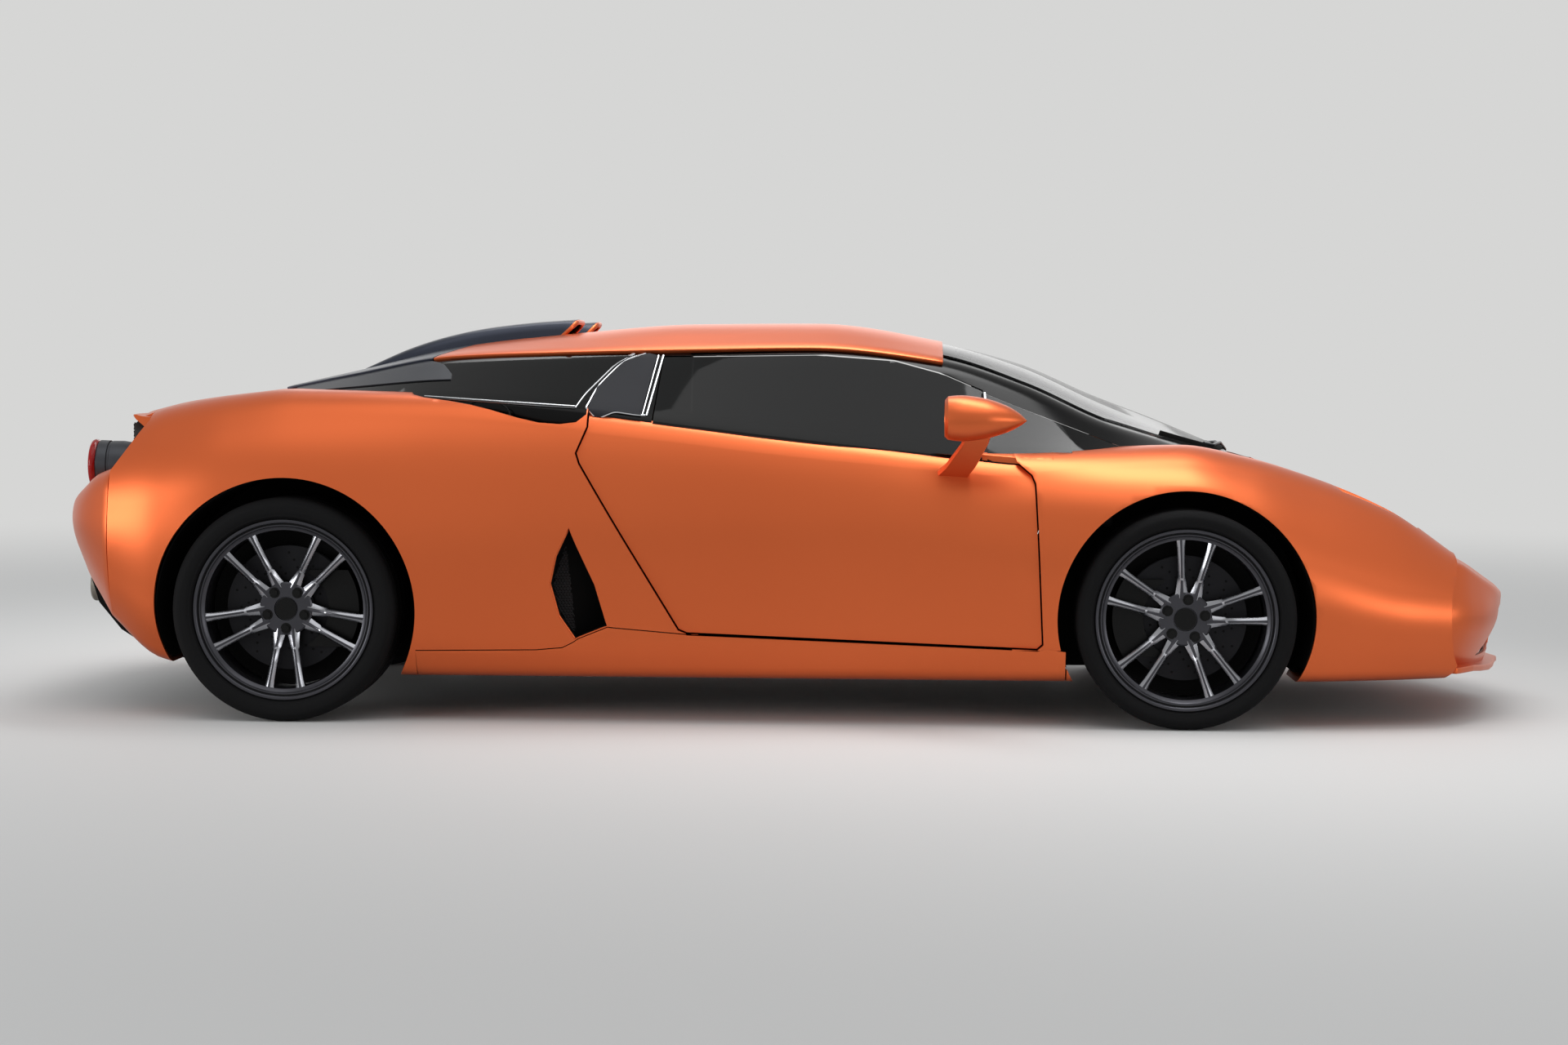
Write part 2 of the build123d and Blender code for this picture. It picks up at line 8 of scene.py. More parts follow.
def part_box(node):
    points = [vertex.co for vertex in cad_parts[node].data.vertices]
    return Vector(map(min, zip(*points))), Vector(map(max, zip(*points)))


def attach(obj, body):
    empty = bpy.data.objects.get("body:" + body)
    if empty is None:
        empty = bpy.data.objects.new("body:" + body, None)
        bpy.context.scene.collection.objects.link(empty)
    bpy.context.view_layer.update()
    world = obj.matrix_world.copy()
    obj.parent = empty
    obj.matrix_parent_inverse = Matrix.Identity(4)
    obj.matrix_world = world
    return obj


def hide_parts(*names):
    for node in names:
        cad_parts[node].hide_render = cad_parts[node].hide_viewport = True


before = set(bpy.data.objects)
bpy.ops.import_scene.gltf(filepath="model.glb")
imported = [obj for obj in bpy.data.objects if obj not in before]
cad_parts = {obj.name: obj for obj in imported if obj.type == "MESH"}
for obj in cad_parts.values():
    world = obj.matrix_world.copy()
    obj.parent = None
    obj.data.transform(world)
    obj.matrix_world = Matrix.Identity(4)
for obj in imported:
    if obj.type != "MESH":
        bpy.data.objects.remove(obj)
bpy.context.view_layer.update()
print("frame loaded")

# Tables are in millimetres: x forward from the middle of the wheelbase, y to the left, z up from the road.
hubs = {}
for name in ("front_left", "front_right", "rear_left", "rear_right"):
    low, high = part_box("rim_" + name)
    hubs[name] = (Vector(low) + Vector(high)) / 2
middleX = (hubs["front_left"].x + hubs["rear_left"].x) / 2
axleX = (hubs["front_left"].x - hubs["rear_left"].x) / 2 * 1000
frontHubZ = hubs["front_left"].z * 1000
rearHubZ = hubs["rear_left"].z * 1000
mm = 0.001


def at(x, y, z):
    return Vector((x * mm + middleX, y * mm, z * mm))


def srgb(text):
    out = []
    for i in (0, 2, 4):
        c = int(text[i : i + 2], 16) / 255
        out.append(c / 12.92 if c <= 0.04045 else ((c + 0.055) / 1.055) ** 2.4)
    return (*out, 1.0)


# Smooth tables: each row starts with its place, and the other columns follow a curve through the rows.
def slopesOf(rows):
    slopes = []
    for i in range(len(rows)):
        a, b = rows[max(i - 1, 0)], rows[min(i + 1, len(rows) - 1)]
        slope = []
        for k in range(1, len(rows[0])):
            if i == 0 or i == len(rows) - 1:
                slope.append((b[k] - a[k]) / (b[0] - a[0]))
                continue
            left = (rows[i][k] - a[k]) / (rows[i][0] - a[0])
            right = (b[k] - rows[i][k]) / (b[0] - rows[i][0])
            flat = left * right <= 0
            slope.append(0.0 if flat else 2 * left * right / (left + right))
        slopes.append(slope)
    return slopes


def rowAt(rows, slopes, x):
    i = 0
    while i < len(rows) - 2 and x > rows[i + 1][0]:
        i += 1
    a, b = rows[i], rows[i + 1]
    w = b[0] - a[0]
    t = (x - a[0]) / w
    h = (2 * t**3 - 3 * t**2 + 1, t**3 - 2 * t**2 + t, -2 * t**3 + 3 * t**2, t**3 - t**2)
    out = []
    for k in range(1, len(a)):
        out.append(
            h[0] * a[k] + h[1] * w * slopes[i][k - 1] + h[2] * b[k] + h[3] * w * slopes[i + 1][k - 1]
        )
    return out


def softPath(points, reaches, arcSteps, lineSteps):
    # an open line whose corners are rounded, each over its own reach along both sides
    points = [Vector(p) for p in points]
    corners = []
    for i, here in enumerate(points):
        if i in (0, len(points) - 1):
            corners.append([here])
            continue
        back, ahead = points[i - 1] - here, points[i + 1] - here
        reach = min(reaches[i - 1], 0.48 * back.length, 0.48 * ahead.length)
        a, b = here + back.normalized() * reach, here + ahead.normalized() * reach
        arc = []
        for s in range(arcSteps + 1):
            t = s / arcSteps
            arc.append(a * (1 - t) ** 2 + here * 2 * t * (1 - t) + b * t**2)
        corners.append(arc)
    out = []
    for i, arc in enumerate(corners):
        if i:
            last = corners[i - 1][-1]
            for s in range(1, lineSteps):
                out.append(last.lerp(arc[0], s / lineSteps))
        out.extend(arc)
    return out


# Mesh helpers
def gridSheet(bm, us, vs, point):
    # a sheet over every pair of the two lists of parameters; a whole number stands for that many places
    us, vs = (list(range(n)) if isinstance(n, int) else n for n in (us, vs))
    made = bmesh.ops.create_grid(bm, x_segments=len(us) - 1, y_segments=len(vs) - 1, size=1.0)
    for vert in made["verts"]:
        i = round((vert.co.x + 1) / 2 * (len(us) - 1))
        j = round((vert.co.y + 1) / 2 * (len(vs) - 1))
        vert.co = point(us[i], vs[j])
    return made["verts"]


def steps(low, high, size):
    count = max(1, math.ceil(abs(high - low) / size))
    return [low + (high - low) * i / count for i in range(count + 1)]


def joined(bm, gap=0.00002):
    bmesh.ops.remove_doubles(bm, verts=bm.verts, dist=gap)
    bmesh.ops.recalc_face_normals(bm, faces=bm.faces)


def mirrorY(bm):
    geom = bm.verts[:] + bm.edges[:] + bm.faces[:]
    bmesh.ops.mirror(bm, geom=geom, axis="Y", merge_dist=-1.0)
    joined(bm, 0.00005)


def capOpen(bm):
    bmesh.ops.holes_fill(bm, edges=[e for e in bm.edges if e.is_boundary], sides=0)


def thicken(bm, outward, thickness):
    # gives a sheet a thickness in metres, on the side that outward tells
    bmesh.ops.recalc_face_normals(bm, faces=bm.faces)
    face = max(bm.faces, key=lambda f: f.calc_area())
    if face.normal.dot(outward(face.calc_center_median())) < 0:
        bmesh.ops.reverse_faces(bm, faces=bm.faces)
    bmesh.ops.solidify(bm, geom=bm.faces[:], thickness=-thickness)
    bmesh.ops.recalc_face_normals(bm, faces=bm.faces)


def pulled(bm, faces, shift):
    # extrudes faces by a shift in metres into a closed solid
    out = bmesh.ops.extrude_face_region(bm, geom=faces)
    verts = [g for g in out["geom"] if isinstance(g, bmesh.types.BMVert)]
    bmesh.ops.translate(bm, verts=verts, vec=shift)
    bmesh.ops.recalc_face_normals(bm, faces=bm.faces)


def prism(points, axis, low, high):
    # a closed outline in millimetres, pulled along an axis: y z points for x, x z for y and x y for z
    bm = bmesh.new()
    places = {
        "x": lambda a, b: at(low, a, b), "y": lambda a, b: at(a, low, b), "z": lambda a, b: at(a, b, low),
    }
    face = bm.faces.new([bm.verts.new(places[axis](a, b)) for a, b in points])
    pulled(bm, [face], Vector([(high - low) * mm if axis == name else 0.0 for name in "xyz"]))
    return bm


def drum(x, z, radius, low, high):
    angles = [2 * math.pi * i / 128 for i in range(128)]
    return prism([(x + radius * math.cos(a), z + radius * math.sin(a)) for a in angles], "y", low, high)


def toObject(bm, name):
    mesh = bpy.data.meshes.new(name)
    bm.to_mesh(mesh)
    bm.free()
    obj = bpy.data.objects.new(name, mesh)
    bpy.context.scene.collection.objects.link(obj)
    return obj


def applied(obj):
    # the mesh with its modifiers, which are then taken off
    graph = bpy.context.evaluated_depsgraph_get()
    mesh = bpy.data.meshes.new_from_object(obj.evaluated_get(graph))
    old = obj.data
    obj.modifiers.clear()
    obj.data = mesh
    bpy.data.meshes.remove(old)
    return obj


def spanOf(mesh):
    points = [v.co for v in mesh.vertices] or [Vector()]
    return [(min(p[k] for p in points), max(p[k] for p in points)) for k in range(3)]


def cutBy(obj, cutters, operation):
    # a result that reaches past the piece it started from is a failed cut
    # it is made again, with the tool moved a hair
    hair, slack = Vector((0.02, 0.014, 0.008)) * mm, 0.5 * mm
    for cutter in cutters:
        tool = toObject(cutter, "cutter")
        start, limits = obj.data.copy(), spanOf(obj.data)
        for attempt in range(12):
            tool.location = hair * attempt
            bpy.context.view_layer.update()
            mod = obj.modifiers.new("cut", "BOOLEAN")
            mod.operation = operation
            mod.solver = "EXACT"
            mod.object = tool
            applied(obj)
            if all(a > c - slack and b < d + slack for (a, b), (c, d) in zip(spanOf(obj.data), limits)):
                break
            obj.data = start.copy()
        bpy.data.objects.remove(tool)
    return obj


def smoothed(mesh, degrees):
    bm = bmesh.new()
    bm.from_mesh(mesh)
    bmesh.ops.remove_doubles(bm, verts=bm.verts, dist=0.00002)
    bmesh.ops.dissolve_degenerate(bm, edges=bm.edges, dist=0.00002)
    limit = math.radians(degrees)
    for face in bm.faces:
        face.smooth = True
    for edge in bm.edges:
        edge.smooth = len(edge.link_faces) == 2 and edge.calc_face_angle(0.0) < limit
    bm.to_mesh(mesh)
    bm.free()


def finished(obj, material, slotName, body="chassis", nodes=(), angle=32):
    # shades a piece, gives it its material or materials, hangs it on its body and hides the imported parts it
    # stands for
    smoothed(obj.data, angle)
    for finish in material if isinstance(material, tuple) else (material,):
        obj.data.materials.append(finish)
    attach(obj, body)
    if nodes:
        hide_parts(*nodes)
    return obj


def flipped(obj, name):
    # the same piece on the other side of the car
    bm = bmesh.new()
    bm.from_mesh(obj.data)
    bmesh.ops.scale(bm, verts=bm.verts, vec=(1, -1, 1))
    bmesh.ops.reverse_faces(bm, faces=bm.faces)
    return toObject(bm, name)


# Materials
def nodeIn(tree, kind, inputs=None, **settings):
    # adds one shader node: its settings, then its inputs by name or number
    # an input is given a value, another node's output, or a node, whose first output is meant
    node = tree.nodes.new("ShaderNode" + kind)
    for key, value in settings.items():
        setattr(node, key, value)
    for key, value in (inputs or {}).items():
        value = value.outputs[0] if isinstance(value, bpy.types.Node) else value
        if isinstance(value, bpy.types.NodeSocket):
            tree.links.new(value, node.inputs[key])
        else:
            node.inputs[key].default_value = value
    return node


def newMaterial(name):
    mat = bpy.data.materials.new(name)
    mat.use_nodes = True
    mat.node_tree.nodes.clear()
    return mat, mat.node_tree, nodeIn(mat.node_tree, "TexCoord").outputs["Object"]


def drifting(tree, where, size, detail, dark, light, low, high):
    # a tone that wanders between two hex colours over a size in millimetres, and the pattern it follows
    pattern = nodeIn(tree, "TexNoise", {"Vector": where, "Scale": 1000 / size, "Detail": detail})
    share = nodeIn(tree, "MapRange", {"Value": pattern, "To Min": low, "To Max": high})
    tone = nodeIn(tree, "Mix", {0: share, 6: srgb(dark), 7: srgb(light)}, data_type="RGBA")
    return pattern, tone.outputs[2]


def satinPaint(name, deep, light, metallic, roughness):
    # sprayed metallic base under a satin clear coat: flakes, a faint peel and a slow drift of tone
    mat, tree, where = newMaterial(name)
    flake = nodeIn(tree, "TexVoronoi", {"Vector": where, "Scale": 1000 / paint["flake"]})
    grey = nodeIn(tree, "RGBToBW", {"Color": flake.outputs["Color"]})
    drift, tone = drifting(tree, where, paint["drift"], 3.0, deep, light, 0.35, 0.65)
    spark = nodeIn(tree, "MapRange", {"Value": grey, "To Min": 0.0, "To Max": 0.10})
    colour = nodeIn(tree, "Mix", {0: spark, 6: tone, 7: srgb(light)}, data_type="RGBA")
    rough = nodeIn(
        tree, "MapRange", {"Value": drift, "To Min": roughness - 0.02, "To Max": roughness + 0.03},
    )
    peel = nodeIn(tree, "TexNoise", {"Vector": where, "Scale": 1000 / paint["peel"], "Detail": 1.0})
    bump = nodeIn(tree, "Bump", {"Height": peel, "Strength": 0.03, "Distance": 0.4 * mm})
    look = {"Base Color": colour.outputs[2], "Metallic": metallic, "Roughness": rough, "Normal": bump}
    look.update({"Coat Weight": 0.25, "Coat Roughness": 0.36})
    nodeIn(tree, "OutputMaterial", {"Surface": nodeIn(tree, "BsdfPrincipled", look)})
    return mat


def grained(name, dark, light, roughness, grain, depth, drift, detail, strength, look):
    # moulded, cast, drawn or woven stuff: a fine grain and a tone that drifts over the piece, in millimetres
    mat, tree, where = newMaterial(name)
    spots = nodeIn(tree, "TexNoise", {"Vector": where, "Scale": 1000.0 / grain, "Detail": detail})
    colour = drifting(tree, where, drift, 2.0, dark, light, 0.2, 0.8)[1]
    rough = nodeIn(
        tree, "MapRange", {"Value": spots, "To Min": roughness - 0.04, "To Max": roughness + 0.06},
    )
    bump = nodeIn(tree, "Bump", {"Height": spots, "Strength": strength, "Distance": depth * mm})
    shader = nodeIn(
        tree, "BsdfPrincipled", {**look, "Base Color": colour, "Roughness": rough, "Normal": bump},
    )
    nodeIn(tree, "OutputMaterial", {"Surface": shader})
    return mat


def plainPlastic(name, dark, light, roughness, grain, depth):
    # moulded or grained stuff with little shine
    return grained(
        name, dark, light, roughness, grain, depth, 166.7, 3.0, 0.1, {"Specular IOR Level": 0.12},
    )


def brushedMetal(name, dark, light, roughness, metallic=1.0, grain=0.4):
    # real brushing and blasting is finer than this grain, which is drawn coarser to show
    return grained(name, dark, light, roughness, grain, 0.05, 111.1, 2.0, 0.12, {"Metallic": metallic})


def smoothGloss(name, dark, light, roughness, spread, waves, look):
    # polished plastic or glass whose gloss and tone wander a little over a distance in millimetres
    mat, tree, where = newMaterial(name)
    haze, colour = drifting(tree, where, waves, 2.0, dark, light, 0.0, 1.0)
    rough = nodeIn(tree, "MapRange", {"Value": haze, "To Min": roughness, "To Max": roughness + spread})
    shader = nodeIn(tree, "BsdfPrincipled", {**look, "Base Color": colour, "Roughness": rough})
    nodeIn(tree, "OutputMaterial", {"Surface": shader})
    return mat


def glossPlastic(name, dark, light, roughness):
    # polished, with faint waves
    return smoothGloss(name, dark, light, roughness, 0.03, 200.0, {"Specular IOR Level": 0.14})


def tintedGlass(name, dark, light, alpha):
    # the glass's own dark tint, through which a share of what lies behind it shows
    return smoothGloss(name, dark, light, 0.03, 0.02, 333.3, {"Alpha": alpha, "Specular IOR Level": 0.25})


# Sizes in millimetres; real flakes are a tenth of this size and are drawn coarser to show at all
paint = {"flake": 0.4167, "peel": 2.381, "drift": 714.3}
# Sprayed metallic paint under satin lacquer: orange with wide, soft-edged bands of light
orange = satinPaint("satin_orange_paint", "BE4E20", "DA6C38", 0.88, 0.36)
# The same paint in blue-grey, whose lights stay dim
slate = satinPaint("satin_slate_paint", "20242F", "2E3341", 0.8, 0.38)
# Polished black ABS: near black with a thin sharp highlight
glossBlack = glossPlastic("gloss_black_trim", "050506", "090909", 0.16)
# Black enamel: a softer, slightly greyer gloss than the trim's
caliperBlack = glossPlastic("caliper_black", "0A0A0A", "101010", 0.25)
# Grained polypropylene: deep matt black that swallows the light of wells and ducts
rawPlastic = plainPlastic("liner_plastic", "060606", "0B0B0B", 0.72, 1.2, 0.4)
# Slush-moulded PVC of the dashboard: dark grey with a dull sheen
dashPlastic = plainPlastic("dash_plastic", "101011", "1A1A1B", 0.6, 0.8, 0.3)
# Moulded ABS of the roof pillar: charcoal, a shade above the glass
pillarPlastic = plainPlastic("pillar_plastic", "1B1C20", "25262B", 0.5, 0.7, 0.2)
# Privacy glass: almost black, partly its own tint and partly painted shade for the unlit cabin behind it,
# with a mirror-sharp highlight
sideGlass = tintedGlass("tint_and_shade_side_glass", "050606", "090A0B", 0.9)
# Laminated screen: smoky, partly its own tint and partly painted shade for the dim cabin, with the dashboard
# and seats seen dimly through it
screenGlass = tintedGlass("windscreen_glass", "070809", "0D0F10", 0.62)
# Polycarbonate lamp cover: clear, with the projectors plain behind it
lensClear = tintedGlass("clear_lamp_lens", "2A2C2E", "3A3C3E", 0.25)
# Red acrylic: deep red that brightens toward its rings
lampRed = tintedGlass("tail_lamp_red", "7A0C0C", "A01414", 0.92)
# Lacquered alloy wheel: graphite grey with a soft metallic shine
wheelPaint = brushedMetal("graphite_wheel_paint", "36363A", "48484D", 0.30, 0.85, 0.5)
# Diamond-turned alloy on the spoke flanks: partly a machined face, partly a painted highlight; bright bevels
# that flash along each spoke
machinedHighlight = brushedMetal("machined_wheel_face", "88898E", "A4A5AA", 0.2, 1.0, 0.6)
# Satin-anodised aluminium: pale silver lines round the windows
brightTrim = brushedMetal("satin_aluminium_trim", "C4C6CA", "DCDEE1", 0.22)
# Brushed stainless steel, slightly browned by heat
steel = brushedMetal("exhaust_steel", "77726B", "9A958C", 0.3)
# Turned grey iron drawn near black, painted shade for the inside of the wheel, with a dull ring of light
iron = brushedMetal("brake_iron_painted_shade", "1C1C1E", "2A2A2C", 0.42)
# Sand-cast aluminium in shadow: rough dark grey
castMetal = brushedMetal("cast_alloy", "1E1F21", "303133", 0.55, 0.9, 1.5)
# Powder-coated steel wire: charcoal with small dull glints
meshWire = brushedMetal("grille_wire", "1B1B1C", "2B2B2D", 0.5, 0.7, 0.8)
# Satin grey lacquer on metal: mid grey, between the slate and the black
greyTrim = brushedMetal("grey_satin_trim", "303236", "44464B", 0.36, 0.6, 0.5)
# Silvered mirror: light grey with a clear reflection, its waves drawn 60 mm long
mirrorGlass = brushedMetal("mirror_glass", "8A8E92", "9CA0A4", 0.06, 1.0, 60.0)
# Vulcanised rubber: flat, faintly dusty black
tyreRubber = plainPlastic("tyre_rubber", "09090A", "111112", 0.78, 0.9, 0.3)
# Grained leather: warm near-black with a low sheen
hide = plainPlastic("seat_leather", "15130F", "221E19", 0.55, 1.6, 0.6)
# Waxed thread over cord: a thin grey line along the bolsters
seatThread = plainPlastic("seat_piping", "3A3A3C", "4A4A4C", 0.6, 0.8, 0.3)
# Looped pile: coarse matt black
cloth = plainPlastic("cabin_carpet", "0F0F10", "191919", 0.95, 2.4, 2.0)
# Frosted acrylic: a milky white bar
lightGuide = plainPlastic("light_guide", "D2D4D6", "DEE0E2", 0.3, 2.0, 0.1)
print("materials made")


# Lower body: x, then y z of the bottom edge, sill, waist, hip, crest and deck, then z of the centre
bodyRows = [
    (-1800, 800, 300, 846, 372, 884, 515, 852, 690, 772, 806, 450, 856, 862),
    (-1650, 840, 182, 888, 280, 924, 500, 892, 720, 775, 872, 450, 892, 896),
    (-1460, 864, 150, 908, 262, 942, 500, 915, 742, 790, 910, 450, 918, 922),
    (-1280, 872, 146, 916, 255, 948, 505, 918, 750, 800, 928, 450, 935, 940),
    (-850, 872, 144, 903, 215, 944, 540, 910, 755, 822, 922, 450, 930, 935),
    (-240, 872, 144, 893, 208, 932, 575, 908, 735, 855, 868, 450, 880, 885),
    (350, 872, 144, 890, 212, 926, 575, 906, 690, 862, 802, 450, 820, 825),
    (800, 872, 144, 892, 218, 930, 520, 898, 660, 830, 766, 450, 790, 795),
    (1100, 872, 145, 902, 235, 940, 470, 900, 668, 770, 782, 450, 782, 786),
    (1280, 872, 146, 912, 250, 944, 452, 898, 668, 748, 790, 450, 776, 780),
    (1460, 866, 147, 904, 248, 934, 420, 880, 640, 738, 758, 450, 742, 744),
    (1640, 856, 148, 886, 240, 912, 385, 852, 575, 724, 703, 440, 694, 694),
    (1880, 805, 150, 836, 222, 862, 330, 802, 485, 700, 606, 430, 602, 603),
    (2070, 735, 152, 764, 212, 788, 315, 745, 410, 680, 474, 400, 484, 490),
]
bodySlopes = slopesOf(bodyRows)
bodyReach = (26, 46, 110, 90, 62, 160)


def bodyRing(x):
    # points from under the sill, up over the side, to the middle of the top
    # by their number: 8 the bottom edge, 19 the sill, 30 the waist, 41 the hip, 52 the crest and 63 the deck
    r = rowAt(bodyRows, bodySlopes, x)
    line = [(620.0, r[1], 0)] + [(r[k], r[k + 1], 0) for k in range(0, 12, 2)] + [(0.0, r[12], 0)]
    return softPath(line, bodyReach, 6, 5)


# Greenhouse: x, then y z of the belt, rail and roof bubble, then z of the centre
houseRows = [
    (-1340, 700, 905, 560, 938, 380, 946, 946),
    (-1143, 772, 918, 592, 978, 400, 992, 990),
    (-831, 802, 916, 612, 1036, 420, 1068, 1056),
    (-501, 824, 892, 622, 1050, 425, 1106, 1088),
    (-145, 846, 850, 632, 1060, 430, 1136, 1112),
    (223, 852, 806, 640, 1068, 430, 1140, 1118),
    (593, 842, 768, 645, 1030, 430, 1084, 1084),
    (823, 818, 752, 655, 962, 420, 1014, 1030),
    (1064, 762, 772, 650, 858, 400, 904, 930),
    (1254, 640, 775, 540, 806, 360, 826, 858),
    (1460, 420, 740, 360, 752, 220, 764, 774),
]
houseSlopes = slopesOf(houseRows)
houseReach = (16, 34, 150)


def houseRing(x):
    r = rowAt(houseRows, houseSlopes, x)
    line = [(r[0] - 2, r[1] - 60, 0)] + [(r[k], r[k + 1], 0) for k in (0, 2, 4)] + [(0.0, r[6], 0)]
    return softPath(line, houseReach, 6, 6)


def ringSheet(ringOf, xs, first=0, last=None, full=False):
    # part of a master surface on the left side, or across the whole car
    bm = bmesh.new()
    rings = {x: ringOf(x) for x in xs}
    end = len(rings[xs[0]]) - 1 if last is None else last
    gridSheet(bm, xs, list(range(first, end + 1)), lambda x, j: at(x, rings[x][j].x, rings[x][j].y))
    if full:
        mirrorY(bm)
    return bm


def awayFromAxis(centre):
    return Vector((0, centre.y, centre.z - 0.45))


def shellFrom(bm, name, thickness):
    # a sheet of the surface made a panel of that thickness, outward from it, or inward when negative
    thicken(bm, awayFromAxis, thickness * mm)
    return toObject(bm, name)


skin = 14.0
gapHalf = 2.2
archRadius = {"front": 364.0, "rear": 376.0}
doorOutline = [
    (-450, 771), (-440, 742), (-156, 272), (-132, 262), (860, 224), (876, 238), (852, 692), (842, 716),
    (800, 752), (700, 1000), (-420, 1000), (-420, 845),
]
intakeOutline = [
    (-465, 561), (-503, 480), (-520, 401), (-496, 310), (-450, 242), (-357, 280), (-392, 400), (-439, 502),
]


def signedArea(points):
    return sum(points[i - 1][0] * p[1] - p[0] * points[i - 1][1] for i, p in enumerate(points)) / 2


def grown(points, amount):
    # the outline with every side moved outward
    if signedArea(points) < 0:
        points = points[::-1]
    out = []
    for i, here in enumerate(points):
        a, b, c = Vector(points[i - 1]), Vector(here), Vector(points[(i + 1) % len(points)])
        n = Vector(((b - a).y, -(b - a).x)).normalized()
        m = Vector(((c - b).y, -(c - b).x)).normalized()
        out.append(tuple(b + (n + m) * (amount / (1 + n.dot(m)))))
    return out


def mirroredOutline(half):
    return list(half) + [(x, -y) for x, y in reversed(half) if y > 0]


def rod(bm, points, radius, sides, closed=False, flat=1.0, outward=(0, 1, 0)):
    # a rod along a line of points in metres; flat squeezes it toward the surface it lies on
    points = [Vector(p) for p in points]
    count = len(points)
    outward = Vector(outward)
    rings = []
    for i, here in enumerate(points):
        back = points[i - 1] if i or closed else here
        ahead = points[(i + 1) % count] if i < count - 1 or closed else here
        along = (ahead - back).normalized()
        side = along.cross(outward).normalized()
        rings.append((here, side, side.cross(along)))
    if closed:
        rings.append(rings[0])

    def point(i, j):
        here, side, rise = rings[i]
        a = 2 * math.pi * (j % sides) / sides
        return here + (side * math.cos(a) + rise * (math.sin(a) * flat)) * (radius * mm)

    made = gridSheet(bm, len(rings), sides + 1, point)
    bmesh.ops.remove_doubles(bm, verts=made, dist=0.000005)
    openEdges = [e for e in bm.edges if e.is_boundary]
    if openEdges and not closed:
        bmesh.ops.holes_fill(bm, edges=openEdges, sides=sides)
    bmesh.ops.recalc_face_normals(bm, faces=bm.faces)


def spaced(points, size):
    # the same line with points no further apart than size, in millimetres
    out = [Vector(points[0])]
    for a, b in zip(points, points[1:]):
        a, b = Vector(a), Vector(b)
        n = max(1, math.ceil((b - a).length / size))
        out += [a.lerp(b, k / n) for k in range(1, n + 1)]
    return out


def bent(points, reach, size=12.0):
    # a line through the points with its corners rounded
    path = softPath([(p[0], p[1], 0) for p in points], [reach] * (len(points) - 2), 6, 2)
    return [(p.x, p.y) for p in spaced(path, size)]


def onSide(ringOf, points, lift):
    return [at(x, sideY(ringOf, x, z) + lift, z) for x, z in points]


def inside(points, x, y):
    hit = False
    for i, b in enumerate(points):
        a = points[i - 1]
        if (a[1] > y) != (b[1] > y) and x < (b[0] - a[0]) * (y - a[1]) / (b[1] - a[1]) + a[0]:
            hit = not hit
    return hit


def lattice(bm, outline, pitch, angles, place, radius, flat, outward=(0, 1, 0), keep=6):
    # crossing four-sided wires inside an outline, followed in 6 mm strides of which every few are kept
    # place puts a point of the outline's plane into the car
    stride = 6.0
    cx = sum(p[0] for p in outline) / len(outline)
    cy = sum(p[1] for p in outline) / len(outline)
    reach = max(math.hypot(p[0] - cx, p[1] - cy) for p in outline)
    for angle in angles:
        c, s = math.cos(math.radians(angle)), math.sin(math.radians(angle))
        for k in range(-int(reach / pitch) - 1, int(reach / pitch) + 2):
            ox, oy = cx - s * k * pitch, cy + c * k * pitch
            run = []
            for step in range(-int(reach / stride) - 1, int(reach / stride) + 2):
                x, y = ox + c * step * stride, oy + s * step * stride
                if inside(outline, x, y):
                    run.append((x, y))
                    continue
                if len(run) > 1:
                    picked = run[:-1:keep] + [run[-1]]
                    rod(bm, [place(*p) for p in picked], radius, 4, False, flat, outward)
                run = []


def sideY(ringOf, x, z):
    # how far out the side is at that place
    ring = ringOf(x)
    for a, b in zip(ring, ring[1:]):
        if min(a.y, b.y) <= z <= max(a.y, b.y) and a.x > 300:
            t = 0.0 if a.y == b.y else (z - a.y) / (b.y - a.y)
            return a.x + (b.x - a.x) * t
    return ring[-1].x


def topZ(ringOf, x, y):
    # height of a skin at a distance y from the middle
    ring = ringOf(x)
    for a, b in zip(ring, ring[1:]):
        if b.x <= y <= a.x and a.x > b.x and a.y > 350:
            return b.y + (a.y - b.y) * (y - b.x) / (a.x - b.x)
    return ring[-1].y


def outlinePrism(points, extra, low):
    return prism(grown(points, extra), "y", low, 1300)


def planPrism(half, extra, low=300):
    return prism(grown(mirroredOutline(half), extra), "z", low, 1400)


def boxCut(x0, x1, y0, y1, z0, z1):
    return prism([(x0, y0), (x1, y0), (x1, y1), (x0, y1)], "z", z0, z1)


def slid(obj, y=0.0, z=0.0):
    # moves a piece's mesh by millimetres, while the object stays at the origin
    for vert in obj.data.vertices:
        vert.co += Vector((0, y, z)) * mm
    return obj


def edged(obj, width=1.4, segments=2, degrees=50):
    # a small radius along the panel's edges, so that they catch the light
    mod = obj.modifiers.new("edge", "BEVEL")
    mod.width, mod.segments, mod.limit_method = width * mm, segments, "ANGLE"
    mod.angle_limit = math.radians(degrees)
    return applied(obj)


def pair(obj, material, slotName, body="chassis", nodes=(), angle=32):
    # finishes a left-hand piece and its mirror image; {} in a body's or node's name stands for the side
    twin = flipped(obj, obj.name.replace("left", "right"))
    for piece, side in ((obj, "left"), (twin, "right")):
        finished(piece, material, slotName, body.format(side), [n.format(side) for n in nodes], angle)
    return obj, twin


lidHalf = [(1500, 0), (1500, 471), (1640, 450), (1985, 330), (2010, 0)]
cowlHalf = [(1236, 0), (1236, 505), (1380, 474), (1497.6, 469), (1497.6, 0)]
lampHalf = [(1690, 640), (1740, 712), (1960, 676), (1992, 560), (1880, 560)]
